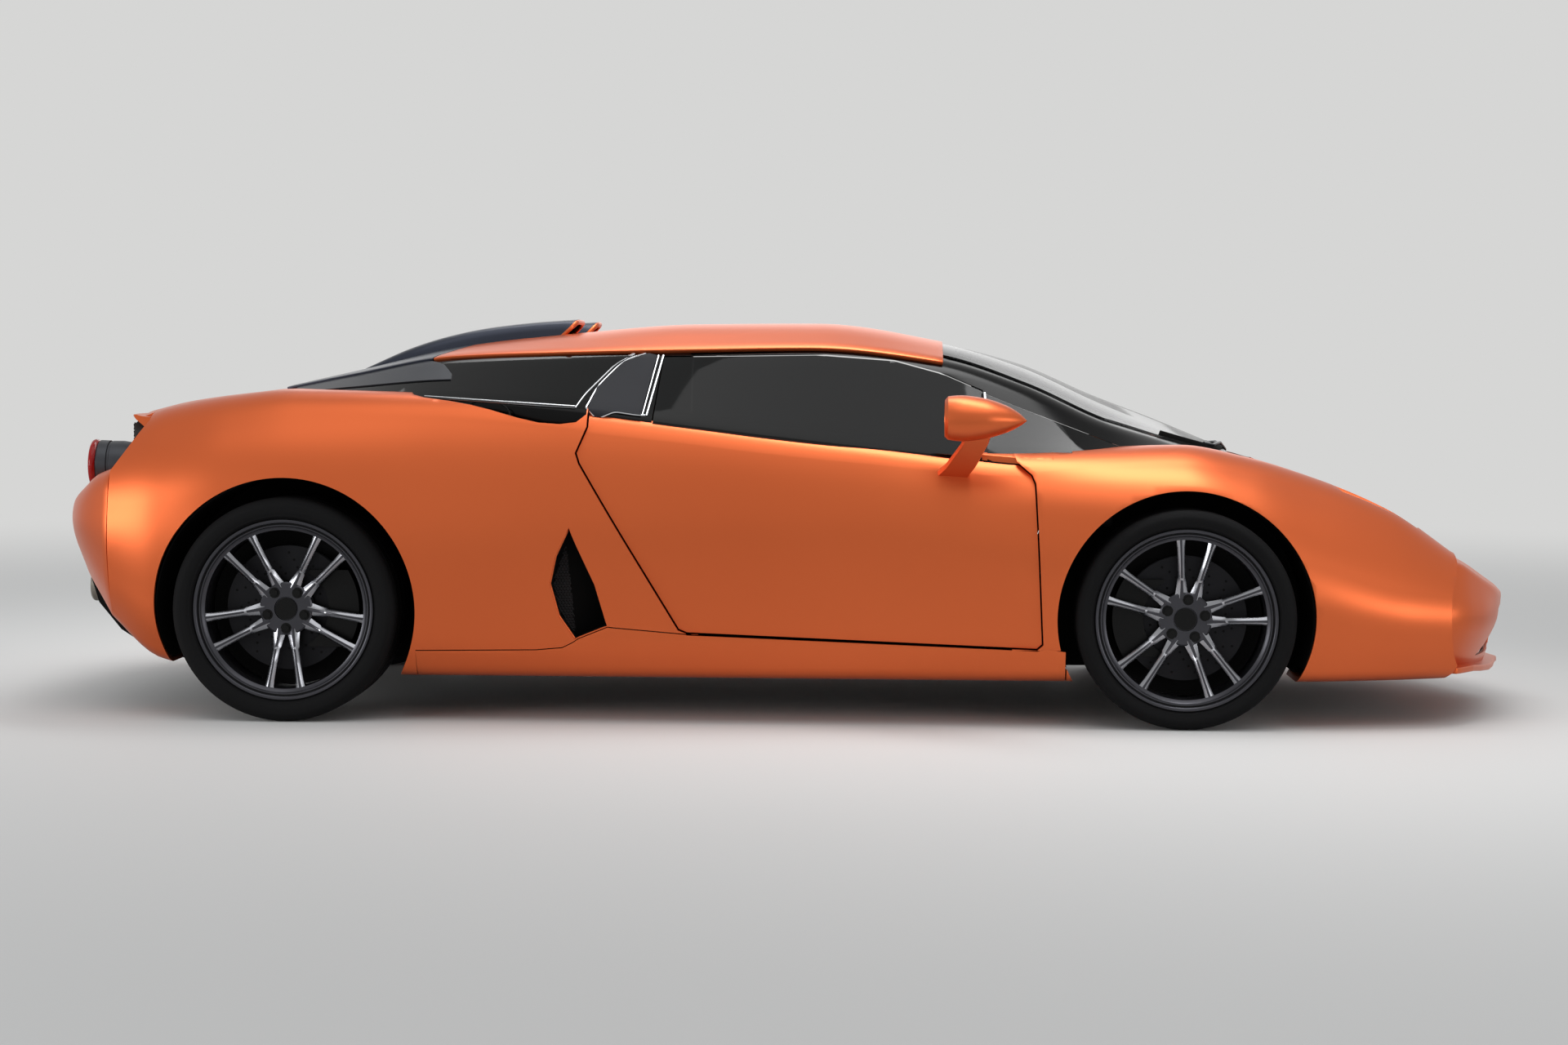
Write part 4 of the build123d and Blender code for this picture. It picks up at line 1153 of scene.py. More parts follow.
for axle, size in wheelSizes.items():
    half = size["width"] / 2
    face = half - rim["recess"]
    tyre = turned(tyreProfile(size["radius"], size["width"]), 120)
    wheelUV(tyre)
    edge, lip, barrel, bead = half - 15, rim["lip"], rim["barrel"], rim["bead"] - 0.5
    outer = [(barrel, -edge), (bead, -edge), (bead, edge - 4), (lip - 1, edge - 3), (lip, edge + 1)]
    outer += [(lip - 1.5, edge + 5), (lip - 7, edge + 5.5), (lip - 10, edge + 3.5), (lip - 12, edge - 2)]
    outer += [(lip - 19, edge - 3.5), (lip - 22, edge - 9), (barrel - 2, edge - 13), (barrel - 2, face - 4)]
    outer += [(barrel - 5, face - 20), (barrel, face - 34)]
    wheel = turned(outer, 144)
    hubLine = [(8, face - 30), (rim["hub"], face - 30), (rim["hub"], face - 3), (rim["hub"] - 4, face)]
    hubLine += [(rim["cap"] + 3, face), (rim["cap"] + 2, face - 6), (8, face - 6)]
    hub = turned(hubLine, 96)
    angles = [math.radians(size["pair"] + k * 360 / rim["pairs"]) for k in range(rim["pairs"])]
    for angle in angles:
        for side in (-1, 1):
            spokeSheet(wheel, angle, side, half)
    bmesh.ops.recalc_face_normals(wheel, faces=wheel.faces)
    for flank in wheel.faces:
        # machined and painted highlight: the narrow flanks of each spoke, tilted partly outward, take the
        # bright finish
        centre = flank.calc_center_median()
        reach = math.hypot(centre.x, centre.z) * 1000
        flank.material_index = int(70 < reach < 232 and 0.25 < flank.normal.y < 0.88)
    dark = bmesh.new()
    for angle in angles:
        x, z = rim["boltCircle"] * math.cos(angle), rim["boltCircle"] * math.sin(angle)
        discSolid(dark, x, z, 15.5, face - 6, face + 0.4, 32)
        discSolid(dark, x, z, 10.5, face - 2, face + 7, 6)
    discSolid(dark, 0, 0, rim["cap"], face - 8, face + 2.5, 48)
    middle = face - brake["behind"]
    inner, outer, groove = brake["bore"], brake["radius"], brake["groove"]
    discLine = [(inner, -15), (outer, -15), (outer, -5), (groove, -4)]
    discLine += [(r, -w) for r, w in reversed(discLine)]
    disc = turned([(r, middle + w) for r, w in discLine], 128)
    bell = turned(
        [(20, middle - 18), (76, middle - 18), (76, face - 31), (70, face - 30.5), (20, face - 30.5)], 64,
    )
    shield = turned([(30, middle - 34), (226, middle - 34), (226, middle - 31), (30, middle - 31)], 64)
    # Black discs just proud of the disc's face stand for its drilled holes: painted shade, as no holes are
    # cut
    holes = bmesh.new()
    for k in range(brake["holes"]):
        a = 2 * math.pi * k / brake["holes"]
        r = brake["holeRows"][k % len(brake["holeRows"])]
        discSolid(holes, r * math.cos(a), r * math.sin(a), brake["hole"], middle + 14, middle + 15.2, 10)
    pieces = (
        ("tyre_tread_", tyre, tyreRubber, "tyre", ["tyre_"], 32),
        ("rim_spokes_", wheel, (wheelPaint, machinedHighlight), "rim", ["rim_"], 40),
        ("rim_hub_", hub, wheelPaint, "rim", [], 32),
        ("bolts_", dark, caliperBlack, "black_trim", [], 32),
        ("brake_disc_", disc, iron, "cast", [], 32),
        ("brake_bell_", bell, castMetal, "cast", [], 32),
        ("dust_shield_", shield, rawPlastic, "liner", [], 32),
        ("disc_holes_", holes, rawPlastic, "liner", [], 32),
    )
    for label, sign in (("left", 1), ("right", -1)):
        key = axle + "_" + label
        for stem, form, material, slotName, nodes, angle in pieces:
            obj = toObject(placed(form.copy(), hubs[key], sign), stem + key)
            finished(obj, material, slotName, "wheel_" + key, [n + key for n in nodes], angle)
    for piece in pieces:
        piece[1].free()
print("wheels made")

looks = {
    "floor_pan": rawPlastic,
    "wheel_liners": rawPlastic,
    "luggage_tub": rawPlastic,
    "suspension_arms": castMetal,
    "rear_uprights": caliperBlack,
    "knuckle_left": caliperBlack,
    "knuckle_right": caliperBlack,
    "engine_block": castMetal,
    "steering_wheel": hide,
    "bulkheads": cloth,
}
for node, material in looks.items():
    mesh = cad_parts[node].data
    mesh.materials.clear()
    mesh.materials.append(material)
print("carried-over nodes painted")

# Side trims, each a line of x z points on the greenhouse or the body
lowerStrip = [(-899, 926), (-461, 900)]
risingStrip = bent([(-461, 899), (-439, 936), (-354, 1030), (-304, 1056)], 40)
innerStrip = bent([(-430, 899), (-404, 960), (-335, 1035), (-266, 1058)], 40)
pillarFoot = bent([(-430, 899), (-397, 866), (-347, 888), (-285, 879), (-258, 878)], 14)
rearPost = [(-222, 1050), (-256, 878)]
frontPost = [(-236, 1050), (-268, 878)]
divider = [(711, 948), (722, 765)]
trims = (
    ("quarter_strip", lowerStrip, 4.5, 1.5),
    ("rising_strip", risingStrip, 3.4, 1.5),
    ("inner_strip", innerStrip, 2.6, 2.0),
    ("foot_strip", pillarFoot, 2.4, 3.0),
    ("rear_post", rearPost, 3.0, 2.0),
    ("front_post", frontPost, 2.2, 2.0),
    ("divider_post", divider, 4.0, 1.0),
)
for label, line, radius, lift in trims:
    bm = bmesh.new()
    rod(bm, onSide(houseRing, [(p.x, p.y) for p in spaced(line, 25)], lift), radius, 8, False, 0.6)
    pair(toObject(bm, label + "_left"), brightTrim, "steel")

panelOutline = [
    (-424, 897), (-404, 958), (-334, 1032), (-264, 1056), (-240, 1050), (-272, 880), (-347, 890),
    (-397, 870),
]
panel = shellFrom(ringSheet(houseRing, steps(-440, -225, 12), 5, 24), "pillar_panel_left", 6.0)
cutBy(panel, [outlinePrism(panelOutline, 0.0, 400)], "INTERSECT")
pair(slid(panel, y=2.2), pillarPlastic, "black_trim")
meshOutline = [(-424, 900), (-398, 950), (-368, 984), (-380, 930), (-400, 896)]
bm = bmesh.new()
lattice(bm, meshOutline, 7.5, (52, -20), lambda x, z: onSide(houseRing, [(x, z)], 4.5)[0], 1.3, 0.8)
pair(toObject(bm, "pillar_mesh_left"), brightTrim, "steel")

# Grey strip along the top edge of the quarter glass, drawn out to a point under the roof's edge
bm = bmesh.new()


def capPoint(x, j):
    ring = houseRing(x)
    fold = 1.0 - 0.9 * max(0.0, min(1.0, (x + 940) / 110))
    place = 15 + j * fold
    a, b = ring[int(place)], ring[int(place) + 1]
    p = a.lerp(b, place - int(place))
    return at(x, p.x + 3.0, p.y + 2.5)


gridSheet(bm, steps(-1306, -832, 14), 9, capPoint)
thicken(bm, awayFromAxis, 0.004)
pair(toObject(bm, "quarter_cap_left"), greyTrim, "steel")


def bodyPoint(x, index, along):
    # a point of the body surface, found by walking along its section from one of its points
    ring = bodyRing(x)
    i, left = index, abs(along)
    step = 1 if along > 0 else -1
    while left > 0 and 0 < i < len(ring) - 1:
        length = (ring[i + step] - ring[i]).length
        if length >= left:
            return ring[i].lerp(ring[i + step], left / length)
        left -= length
        i += step
    return ring[i]


# Fuel filler flap: a fine round line on the body surface, about a point of the body's section
flap = {"x": -713, "index": 49, "offset": 14, "radius": 70, "line": 2.3}
bm = bmesh.new()
points = []
for k in range(72):
    t = 2 * math.pi * k / 72
    x = flap["x"] + flap["radius"] * math.cos(t)
    p = bodyPoint(x, flap["index"], flap["offset"] + flap["radius"] * math.sin(t))
    points.append(at(x, p.x, p.y))
rod(bm, points, flap["line"], 6, True, 0.8, (0, 0.6, 0.8))
pair(toObject(bm, "filler_line_left"), rawPlastic, "black_trim")

# Side marker disc behind the front wheel
marker = {"x": 932, "z": 564, "base": 0.017, "face": 0.015, "depth": 0.004}
bm = bmesh.new()
sizes = {"radius1": marker["base"], "radius2": marker["face"], "depth": marker["depth"]}
bmesh.ops.create_cone(bm, cap_ends=True, segments=40, **sizes)
bmesh.ops.rotate(bm, verts=bm.verts, cent=(0, 0, 0), matrix=Matrix.Rotation(math.radians(-90), 3, "X"))
markerY = sideY(bodyRing, marker["x"], marker["z"]) + 1.5
bmesh.ops.translate(bm, verts=bm.verts, vec=at(marker["x"], markerY, marker["z"]))
pair(toObject(bm, "side_marker_left"), caliperBlack, "black_trim")

# Side intake: bright rear rim, dark duct and a mesh over its rear part
bm = bmesh.new()
rimLine = intakeOutline[:6][::-1] + intakeOutline[6:][::-1]
closedLine = [(p.x, p.y) for p in spaced(rimLine + [rimLine[0]], 14)][:-1]
rod(bm, onSide(bodyRing, closedLine, 0.5), 3.2, 8, True, 1.0)
pair(toObject(bm, "intake_rim_left"), orange, "paint")
duct = shellFrom(ringSheet(bodyRing, steps(-560, -320, 16), 18, 44), "intake_duct_left", 4.0)
cutBy(duct, [outlinePrism(intakeOutline, 10.0, 600)], "INTERSECT")
# The duct's floor lies deeper toward the front of the car
ductDepth = {"least": 35.0, "most": 110.0, "slope": 0.5, "fromX": -590.0}
for vert in duct.data.vertices:
    depth = ductDepth["slope"] * ((vert.co.x - middleX) * 1000 - ductDepth["fromX"])
    vert.co.y -= max(ductDepth["least"], min(ductDepth["most"], depth)) * mm
pair(duct, rawPlastic, "liner")
meshPart = [(-515, 402), (-498, 320), (-462, 262), (-450, 262), (-462, 400), (-475, 520)]
bm = bmesh.new()
lattice(bm, meshPart, 8.0, (60, -60, 0), lambda x, z: at(x, sideY(bodyRing, x, z) - 24, z), 1.3, 0.8)
pair(toObject(bm, "intake_mesh_left"), meshWire, "mesh", "chassis", ["grilles"])
bm = bmesh.new()
for a, b in zip(intakeOutline, intakeOutline[1:] + intakeOutline[:1]):
    line = spaced([a, b], 14)
    sides = [sideY(bodyRing, p.x, p.y) - 2 for p in line]
    gridSheet(bm, len(line), 2, lambda i, j: at(line[i].x, sides[i] - 118 * j, line[i].y))
joined(bm, 0.0001)
bmesh.ops.solidify(bm, geom=bm.faces[:], thickness=0.004)
pair(toObject(bm, "intake_wall_left"), rawPlastic, "liner")

# Door mirror: a pointed shell with a crease, the glass behind it, and a faceted foot
mirror = {"y": 1010, "z": 878, "back": 592, "tip": 820, "glass": 46, "droop": 0.02}
mirrorRows = [
    (592, 50, 52, 50), (600, 60, 62, 58), (640, 66, 66, 62), (700, 62, 60, 54), (760, 44, 42, 36),
    (800, 21, 20, 16), (820, 1, 1, 1),
]
mirrorSlopes = slopesOf(mirrorRows)


def mirrorPoint(x, k):
    width, up, down = rowAt(mirrorRows, mirrorSlopes, x)
    t = 2 * math.pi * (k % 40) / 40
    c, s = math.cos(t), math.sin(t)
    high = up if s > 0 else down
    y = width * math.copysign(abs(c) ** 1.12, c)
    return at(x, mirror["y"] + y, mirror["z"] + high * s - mirror["droop"] * (x - mirror["back"]))


bm = bmesh.new()
gridSheet(bm, steps(mirror["back"], mirror["tip"], 9), 41, mirrorPoint)
bmesh.ops.remove_doubles(bm, verts=bm.verts, dist=0.00002)
capOpen(bm)
bmesh.ops.recalc_face_normals(bm, faces=bm.faces)
backFace = min(bm.faces, key=lambda f: f.calc_center_median().x)
bmesh.ops.inset_region(bm, faces=[backFace], thickness=0.005, depth=-0.008)
shellObj = toObject(bm, "mirror_shell_left")
foot = bmesh.new()
section = [(-46, -11), (46, -11), (52, 0), (46, 11), (-46, 11), (-52, 0)]
stations = [(594, 836, 692, 1.0), (640, 905, 745, 0.86), (676, 972, 806, 0.74), (690, 1004, 840, 0.68)]


def footPoint(i, j):
    x, y, z, size = stations[i]
    a, b = section[j % 6]
    return at(x + a * size, y + b * size * -0.62, z + b * size * 0.78)


gridSheet(foot, 4, 7, footPoint)
bmesh.ops.remove_doubles(foot, verts=foot.verts, dist=0.00002)
capOpen(foot)
bmesh.ops.recalc_face_normals(foot, faces=foot.faces)
footObj = toObject(foot, "mirror_foot_left")
for piece in (shellObj, footObj):
    pair(piece, orange, "paint", "door_{}", ["mirror_{}"], 28)
bm = bmesh.new()
bmesh.ops.create_circle(bm, cap_ends=True, segments=40, radius=mirror["glass"])
for vert in bm.verts:
    vert.co = at(mirror["back"] + 1.5, mirror["y"] + vert.co.x, mirror["z"] + vert.co.y)
pair(toObject(bm, "mirror_glass_left"), mirrorGlass, "glass", "door_{}")

# Walls that close the space behind each rear wheel and under the quarter glass
bayWall = [(-1640, 150), (-1740, 172), (-1830, 230), (-1896, 310), (-1930, 420), (-1930, 590), (-1640, 690)]
glassLedge = [(-899, 800), (-899, 926), (-820, 918), (-440, 902), (-440, 780)]
pair(toObject(prism(bayWall, "y", 588, 593), "rear_bay_wall_left"), rawPlastic, "liner")
pair(toObject(prism(glassLedge, "y", 782, 787), "glass_ledge_left"), glossBlack, "black_trim")
closing = {"x": -1668.0, "innerY": 588.0, "low": 175.0, "high": 660.0, "skin": 7.0}
edge = [p for p in bodyRing(closing["x"]) if closing["low"] < p.y < closing["high"] and p.x > 700]
outline = [(p.x - closing["skin"], p.y) for p in edge]
outline = [(closing["innerY"], edge[0].y), *outline, (closing["innerY"], edge[-1].y)]
wall = toObject(prism(outline, "x", closing["x"], closing["x"] + 5), "arch_wall_left")
pair(wall, rawPlastic, "liner")
print("side details made")


def aimed(bm, place, axis):
    # a turned piece pointed along an axis and put in its place
    turn = Vector((0, 1, 0)).rotation_difference(Vector(axis)).to_matrix()
    bmesh.ops.rotate(bm, verts=bm.verts, cent=(0, 0, 0), matrix=turn)
    bmesh.ops.translate(bm, verts=bm.verts, vec=place)
    return bm


# Headlamps: a clear cover let into the fender, a dark tub, two projectors and a light guide
lampCover = shellFrom(ringSheet(bodyRing, steps(1680, 2002, 16), 34, 68), "lamp_cover_left", 4.0)
cutBy(lampCover, [prism(grown(lampHalf, -1.5), "z", 400, 1000)], "INTERSECT")
pair(lampCover, lensClear, "lamp_glass", "chassis", ["head_lamps"])
lampTub = shellFrom(ringSheet(bodyRing, steps(1670, 2012, 16), 34, 68), "lamp_tub_left", 3.0)
cutBy(lampTub, [prism(grown(lampHalf, 5.0), "z", 400, 1000)], "INTERSECT")
pair(slid(lampTub, z=-50.0), rawPlastic, "liner")
lampEdge = spaced(lampHalf + [lampHalf[0]], 14)
lampTop = [topZ(bodyRing, p.x, p.y) - 4 for p in lampEdge]
bm = bmesh.new()
gridSheet(bm, len(lampEdge), 2, lambda i, j: at(lampEdge[i].x, lampEdge[i].y, lampTop[i] - 48 * j))
joined(bm)
bmesh.ops.solidify(bm, geom=bm.faces[:], thickness=0.003)
pair(toObject(bm, "lamp_wall_left"), rawPlastic, "liner")
bezelLine = [(22, -10), (30, -10), (31, 4), (28, 8), (24, 5), (22, 0)]
lensLine = [(0.4, -6), (23, -6), (23, 0), (18, 6), (9, 9.5), (0.4, 10.5)]
projector = {"places": ((1925, 618), (1848, 640)), "aim": (0.75, 0.12, 0.64), "sunk": 30}
for number, (x, y) in enumerate(projector["places"]):
    place = at(x, y, topZ(bodyRing, x, y) - projector["sunk"])
    for stem, line, material, slotName in (
        ("rim", bezelLine, brightTrim, "steel"),
        ("lens", lensLine, glossBlack, "lamp_glass"),
    ):
        obj = toObject(
            aimed(turned(line, 48), place, projector["aim"]), "projector_%s_%d_left" % (stem, number),
        )
        pair(obj, material, slotName)
bm = bmesh.new()
guide = spaced([(1746, 698), (1950, 666), (1976, 590)], 12)
rod(bm, [at(p.x, p.y, topZ(bodyRing, p.x, p.y) - 12) for p in guide], 4.0, 8, False, 1.0, (0, 0, 1))
pair(toObject(bm, "light_guide_left"), lightGuide, "lamp_glass")

# Round tail lamps, each a grey housing with a ringed red lens, and the exhaust tips
housingLine = [
    (40, 0), (66, 0), (71, 30), (71, 62), (68.5, 64), (68.5, 69), (72, 71), (73, 98), (70, 102), (62, 102),
    (60, 90), (40, 90),
]
redLine = [
    (0.4, 92), (61, 92), (61, 101), (70.5, 103), (75, 109), (75.6, 115), (73.5, 120), (68, 123), (53, 124),
    (51, 121.5), (46, 121.5), (44, 125), (31, 126), (29, 123.5), (24, 123.5), (22, 125), (0.4, 125),
]
capLine = [(0.4, 118), (20, 118), (20, 127), (17, 128.5), (0.4, 129)]
tipLine = [(38, 0), (46, 0), (46, 196), (48, 206), (47.5, 216), (44, 221), (40, 219), (38.5, 210)]
# The bore is a black disc that closes each exhaust tip some way in: painted shade for the depth of the pipe
boreLine = [(0.4, 90), (38.4, 90), (38.4, 96), (0.4, 96)]
rear = (-1, 0, 0)
tailLamp = {"x": -1796, "y": 560, "z": 716}
lampAt = at(tailLamp["x"], tailLamp["y"], tailLamp["z"])
tipAt = at(exhaust["x"], exhaust["y"], exhaust["z"])
for label, line, count, place, material, slotName, nodes, angle in (
    ("tail_housing", housingLine, 72, lampAt, greyTrim, "steel", [], 32),
    ("tail_lens", redLine, 72, lampAt, lampRed, "tail_lamp", ["tail_lamps"], 40),
    ("tail_cap", capLine, 48, lampAt, caliperBlack, "black_trim", [], 32),
    ("exhaust_tip", tipLine, 72, tipAt, steel, "steel", ["exhaust_tips"], 32),
    ("exhaust_bore", boreLine, 48, tipAt, rawPlastic, "liner", [], 32),
):
    obj = toObject(aimed(turned(line, count), place, rear), label + "_left")
    pair(obj, material, slotName, "chassis", nodes, angle)

# Wipers parked along the foot of the windscreen: blade and arm lie that high above the glass
wiper = {"blade": 4.2, "arm": 6.0, "lift": 9, "armLift": 18, "lastX": 1452}
for name, line, pivot, reach in (
    ("wiper_right", [(1236, -468), (1322, -404), (1408, -318), (1446, -190), (1460, -60)], (1478, -24), 2),
    ("wiper_left", [(1412, 330), (1446, 220), (1462, 110), (1464, 10)], (1478, 60), 1),
):
    blade = [
        at(x, y, topZ(houseRing, min(x, wiper["lastX"]), abs(y)) + wiper["lift"])
        for x, y in bent(line, 60, 20)
    ]
    bm = bmesh.new()
    rod(bm, blade, wiper["blade"], 8, False, 2.0, (0, 0, 1))
    finished(toObject(bm, name + "_blade"), rawPlastic, "black_trim")
    bm = bmesh.new()
    x, y = line[reach]
    high = topZ(houseRing, min(x, wiper["lastX"]), abs(y)) + wiper["armLift"]
    arm = [at(pivot[0], pivot[1], 752), at(pivot[0] - 4, pivot[1] * 0.98, 772)]
    arm += [
        at((x + pivot[0]) / 2, (y + pivot[1]) / 2, high + 4), at(x, y, high), at(x - 30, y - 24, high + 6),
    ]
    rod(bm, arm, wiper["arm"], 10, False, 0.7, (0, 0, 1))
    finished(toObject(bm, name + "_arm"), greyTrim, "steel")
print("lamps and wipers made")


# Seats: a closed pad for the back with its headrest and one for the cushion, with bolsters and sewn channels
padSection = [
    (-1.0, -0.2), (-0.99, 0.45), (-0.93, 0.95), (-0.82, 1.05), (-0.70, 0.82), (-0.62, 0.42), (-0.58, 0.26),
    (-0.54, 0.38), (-0.40, 0.46), (-0.14, 0.5),
]
padSection += [(-a, b) for a, b in reversed(padSection)] + [
    (0.96, -0.7), (0.7, -0.9), (0.25, -0.95), (-0.25, -0.95), (-0.7, -0.9), (-0.96, -0.7),
]
# x and z of the middle line, half width, depth, and how much of the bolsters stands up
backRows = [
    (-150, 292, 190, 30, 1.0), (-154, 302, 208, 48, 1.0), (-166, 340, 216, 54, 1.0),
    (-199, 440, 226, 56, 1.0), (-231, 540, 232, 55, 1.0), (-263, 640, 232, 53, 0.9),
    (-288, 716, 218, 50, 0.7), (-304, 764, 184, 46, 0.4), (-316, 800, 142, 43, 0.1),
    (-326, 848, 122, 42, 0.0), (-337, 900, 114, 39, 0.0), (-343, 924, 100, 34, 0.0),
    (-346, 933, 76, 20, 0.0),
]
cushionRows = [
    (-196, 262, 190, 24, 0.6), (-186, 262, 205, 38, 0.7), (-140, 262, 212, 42, 0.8),
    (-60, 264, 216, 44, 1.0), (60, 270, 222, 46, 1.0), (180, 278, 226, 46, 1.0), (270, 284, 226, 45, 0.9),
    (322, 284, 220, 42, 0.6), (346, 272, 208, 32, 0.3), (352, 262, 190, 20, 0.2),
]
channel = {"pitch": 58.0, "depth": 0.14, "half": 9.0}
seatY = 370


def padStations(rows, first, last):
    # rows along the pad, with a narrow dip where each sewn channel runs
    length = [0.0]
    for a, b in zip(rows, rows[1:]):
        length.append(length[-1] + math.hypot(b[0] - a[0], b[1] - a[1]))
    table = [(length[i], *row) for i, row in enumerate(rows)]
    slopes = slopesOf(table)
    places = {round(s, 1): 0.0 for s in length}
    s = length[first] + channel["pitch"]
    while s < length[last]:
        for shift, dip in ((-channel["half"], 0.0), (0.0, 1.0), (channel["half"], 0.0)):
            places[round(s + shift, 1)] = dip
        s += channel["pitch"]
    out = []
    for s in sorted(places):
        ahead = rowAt(table, slopes, min(s + 4, length[-1]))
        back = rowAt(table, slopes, max(s - 4, 0.0))
        along = Vector((ahead[0] - back[0], ahead[1] - back[1])).normalized()
        out.append((rowAt(table, slopes, s), along, places[s]))
    return out


def padPoint(station, j, faceUp):
    (x, z, width, depth, bolster), along, dip = station
    a, b = padSection[j % len(padSection)]
    if b > 0.46 or abs(a) > 0.66:
        b = b if b < 0.4 else 0.42 + (b - 0.42) * bolster
    elif b > 0.3:
        b -= channel["depth"] * dip
    n = Vector((along.y, -along.x)) * faceUp
    return at(x + n.x * b * depth, seatY + a * width, z + n.y * b * depth)


def pad(name, rows, first, last, faceUp):
    stations = padStations(rows, first, last)
    bm = bmesh.new()
    gridSheet(bm, len(stations), len(padSection) + 1, lambda i, j: padPoint(stations[i], j, faceUp))
    bmesh.ops.remove_doubles(bm, verts=bm.verts, dist=0.00002)
    capOpen(bm)
    bmesh.ops.recalc_face_normals(bm, faces=bm.faces)
    obj = toObject(bm, name)
    mod = obj.modifiers.new("round", "SUBSURF")
    mod.levels = mod.render_levels = 2
    applied(obj)
    for piece in pair(obj, hide, "leather", "chassis", ["seats"], 80):
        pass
    thread = bmesh.new()
    for j in (6, 13):
        rod(thread, [padPoint(s, j, faceUp) for s in stations[2:-3]], 2.4, 6, False, 1.0, (0.3, 1, 0.3))
    pair(toObject(thread, name.replace("left", "") + "piping_left"), seatThread, "leather")


pad("seat_back_left", backRows, 1, 6, 1)
pad("seat_cushion_left", cushionRows, 1, 7, -1)
base = toObject(prism([(-190, 172), (320, 172), (336, 236), (-196, 236)], "y", 185, 555), "seat_base_left")
pair(edged(base, 14, 3, 40), dashPlastic, "liner")

# Dashboard, instrument hood, centre console and tunnel
pieces = (
    (
        "dash_body",
        [(700, 588), (775, 566), (1080, 566), (1080, 716), (930, 734), (800, 740), (735, 730), (694, 706)],
        -752, 752, 12, dashPlastic, ["dashboard"],
    ),
    ("dash_shelf", [(697, 640), (706, 590), (716, 590), (716, 650)], -748, 748, 5, greyTrim, []),
    (
        "instrument_hood",
        [(700, 700), (820, 716), (812, 756), (760, 776), (694, 784), (690, 772), (742, 752), (744, 712)],
        215, 525, 7, hide, [],
    ),
    ("console", [(470, 372), (600, 430), (694, 600), (760, 600), (760, 372)], -88, 88, 10, dashPlastic, []),
    ("tunnel", [(-436, 172), (1080, 172), (1080, 376), (-436, 376)], -93, 93, 14, hide, []),
    (
        "console_trim",
        [(60, 373), (470, 377), (598, 436), (690, 604), (686, 606), (592, 441), (466, 382), (60, 379)], -58,
        58, 2, greyTrim, [],
    ),
)
for name, outline, low, high, width, material, nodes in pieces:
    obj = edged(toObject(prism(outline, "y", low, high), name), width, 3, 24)
    finished(obj, material, "dash_trim", "chassis", nodes)
ventLine = [(24, 0), (33, 0), (34, 5), (31, 8), (27, 5), (24, 5)]
vane = Matrix.Diagonal((0.006, 0.046, 0.0024, 1))
for y in (-640, -140, 140, 640):
    ringObj = toObject(aimed(turned(ventLine, 40), at(700, y, 672), rear), "vent_ring_%d" % (y + 700))
    finished(ringObj, brightTrim, "dash_trim")
    bm = bmesh.new()
    for k in (-14, -5, 5, 14):
        bmesh.ops.create_cube(bm, size=1.0, matrix=Matrix.Translation(at(698, y, 672 + k)) @ vane)
    finished(toObject(bm, "vent_vanes_%d" % (y + 700)), caliperBlack, "dash_trim")
for k, (y, radius) in enumerate(((290, 30), (370, 44), (450, 30))):
    dial = turned([(0.4, 0), (radius, 0), (radius, 3), (radius - 3, 4), (radius - 3, 1.5), (0.4, 1.5)], 48)
    obj = toObject(aimed(dial, at(744, y, 735), (-1, 0, 0.12)), "gauge_%d" % k)
    finished(obj, caliperBlack, "dash_trim")
wheelAxis, wheelAt = Vector((-0.927, 0, 0.375)), at(600, seatY, 650)
padLine = [(0.4, 0), (52, 0), (60, 8), (58, 18), (44, 24), (0.4, 27)]
padObj = toObject(aimed(turned(padLine, 64), wheelAt - wheelAxis * 0.004, wheelAxis), "wheel_pad")
finished(padObj, hide, "wheel_leather")
ringLine = [(50, 25), (53, 23.6), (55, 23), (53, 21)]
ringObj = toObject(aimed(turned(ringLine, 64), wheelAt, wheelAxis), "wheel_pad_ring")
finished(ringObj, brightTrim, "steel")

# Carpet, roof lining and door cards
bm = bmesh.new()
carpet = {"x": (-436, 1066), "innerY": 96, "width": 594, "footwell": 300, "z": 201.0}


def carpetPoint(x, t):
    narrowed = carpet["footwell"] * min(1.0, max(0.0, (x - 740) / 110))
    return at(x, carpet["innerY"] + t * (carpet["width"] - narrowed), carpet["z"])


gridSheet(bm, steps(*carpet["x"], 60), steps(0, 1, 0.1), carpetPoint)
thicken(bm, lambda c: Vector((0, 0, 1)), 0.005)
pair(slid(toObject(bm, "carpet_left"), z=5.5), cloth, "liner")
lining = shellFrom(ringSheet(houseRing, steps(-400, 560, 30), 23, None, True), "roof_lining", 3.0)
finished(slid(lining, z=-17.0), cloth, "liner")
card = [(-392, 700), (690, 700), (820, 690), (846, 330), (800, 270), (-60, 300), (-150, 320)]
cardObj = toObject(prism(card, "y", 772, 781.4), "door_card_left")
pair(edged(cardObj, 4, 3, 40), hide, "leather", "door_{}")
restOutline = [(-300, 548), (420, 512), (470, 540), (440, 566), (-290, 604), (-320, 580)]
rest = toObject(prism(restOutline, "y", 722, 773), "door_rest_left")
pair(edged(rest, 13, 4, 40), hide, "leather", "door_{}")
bm = bmesh.new()
pull = ((120, 770, 628), (150, 738, 632), (260, 728, 630), (370, 738, 622), (400, 770, 616))
rod(bm, [at(*p) for p in pull], 9.0, 10)
pair(toObject(bm, "door_pull_left"), greyTrim, "steel", "door_{}")
speaker = turned([(0.4, 0), (74, 0), (78, 3), (74, 6), (66, 4), (0.4, 5)], 56)
bmesh.ops.rotate(speaker, verts=speaker.verts, cent=(0, 0, 0), matrix=Matrix.Rotation(math.pi, 3, "Z"))
bmesh.ops.translate(speaker, verts=speaker.verts, vec=at(690, 772.5, 410))
pair(toObject(speaker, "door_speaker_left"), rawPlastic, "liner", "door_{}")
print("cabin made")

# Stage, lights and camera
cameraFit = {
    "x": 455.1, "y": -9500.0, "z": 1040.5, "pitch": 3.071, "yaw": -2.085, "roll": 0.359, "lens": 69.9,
}


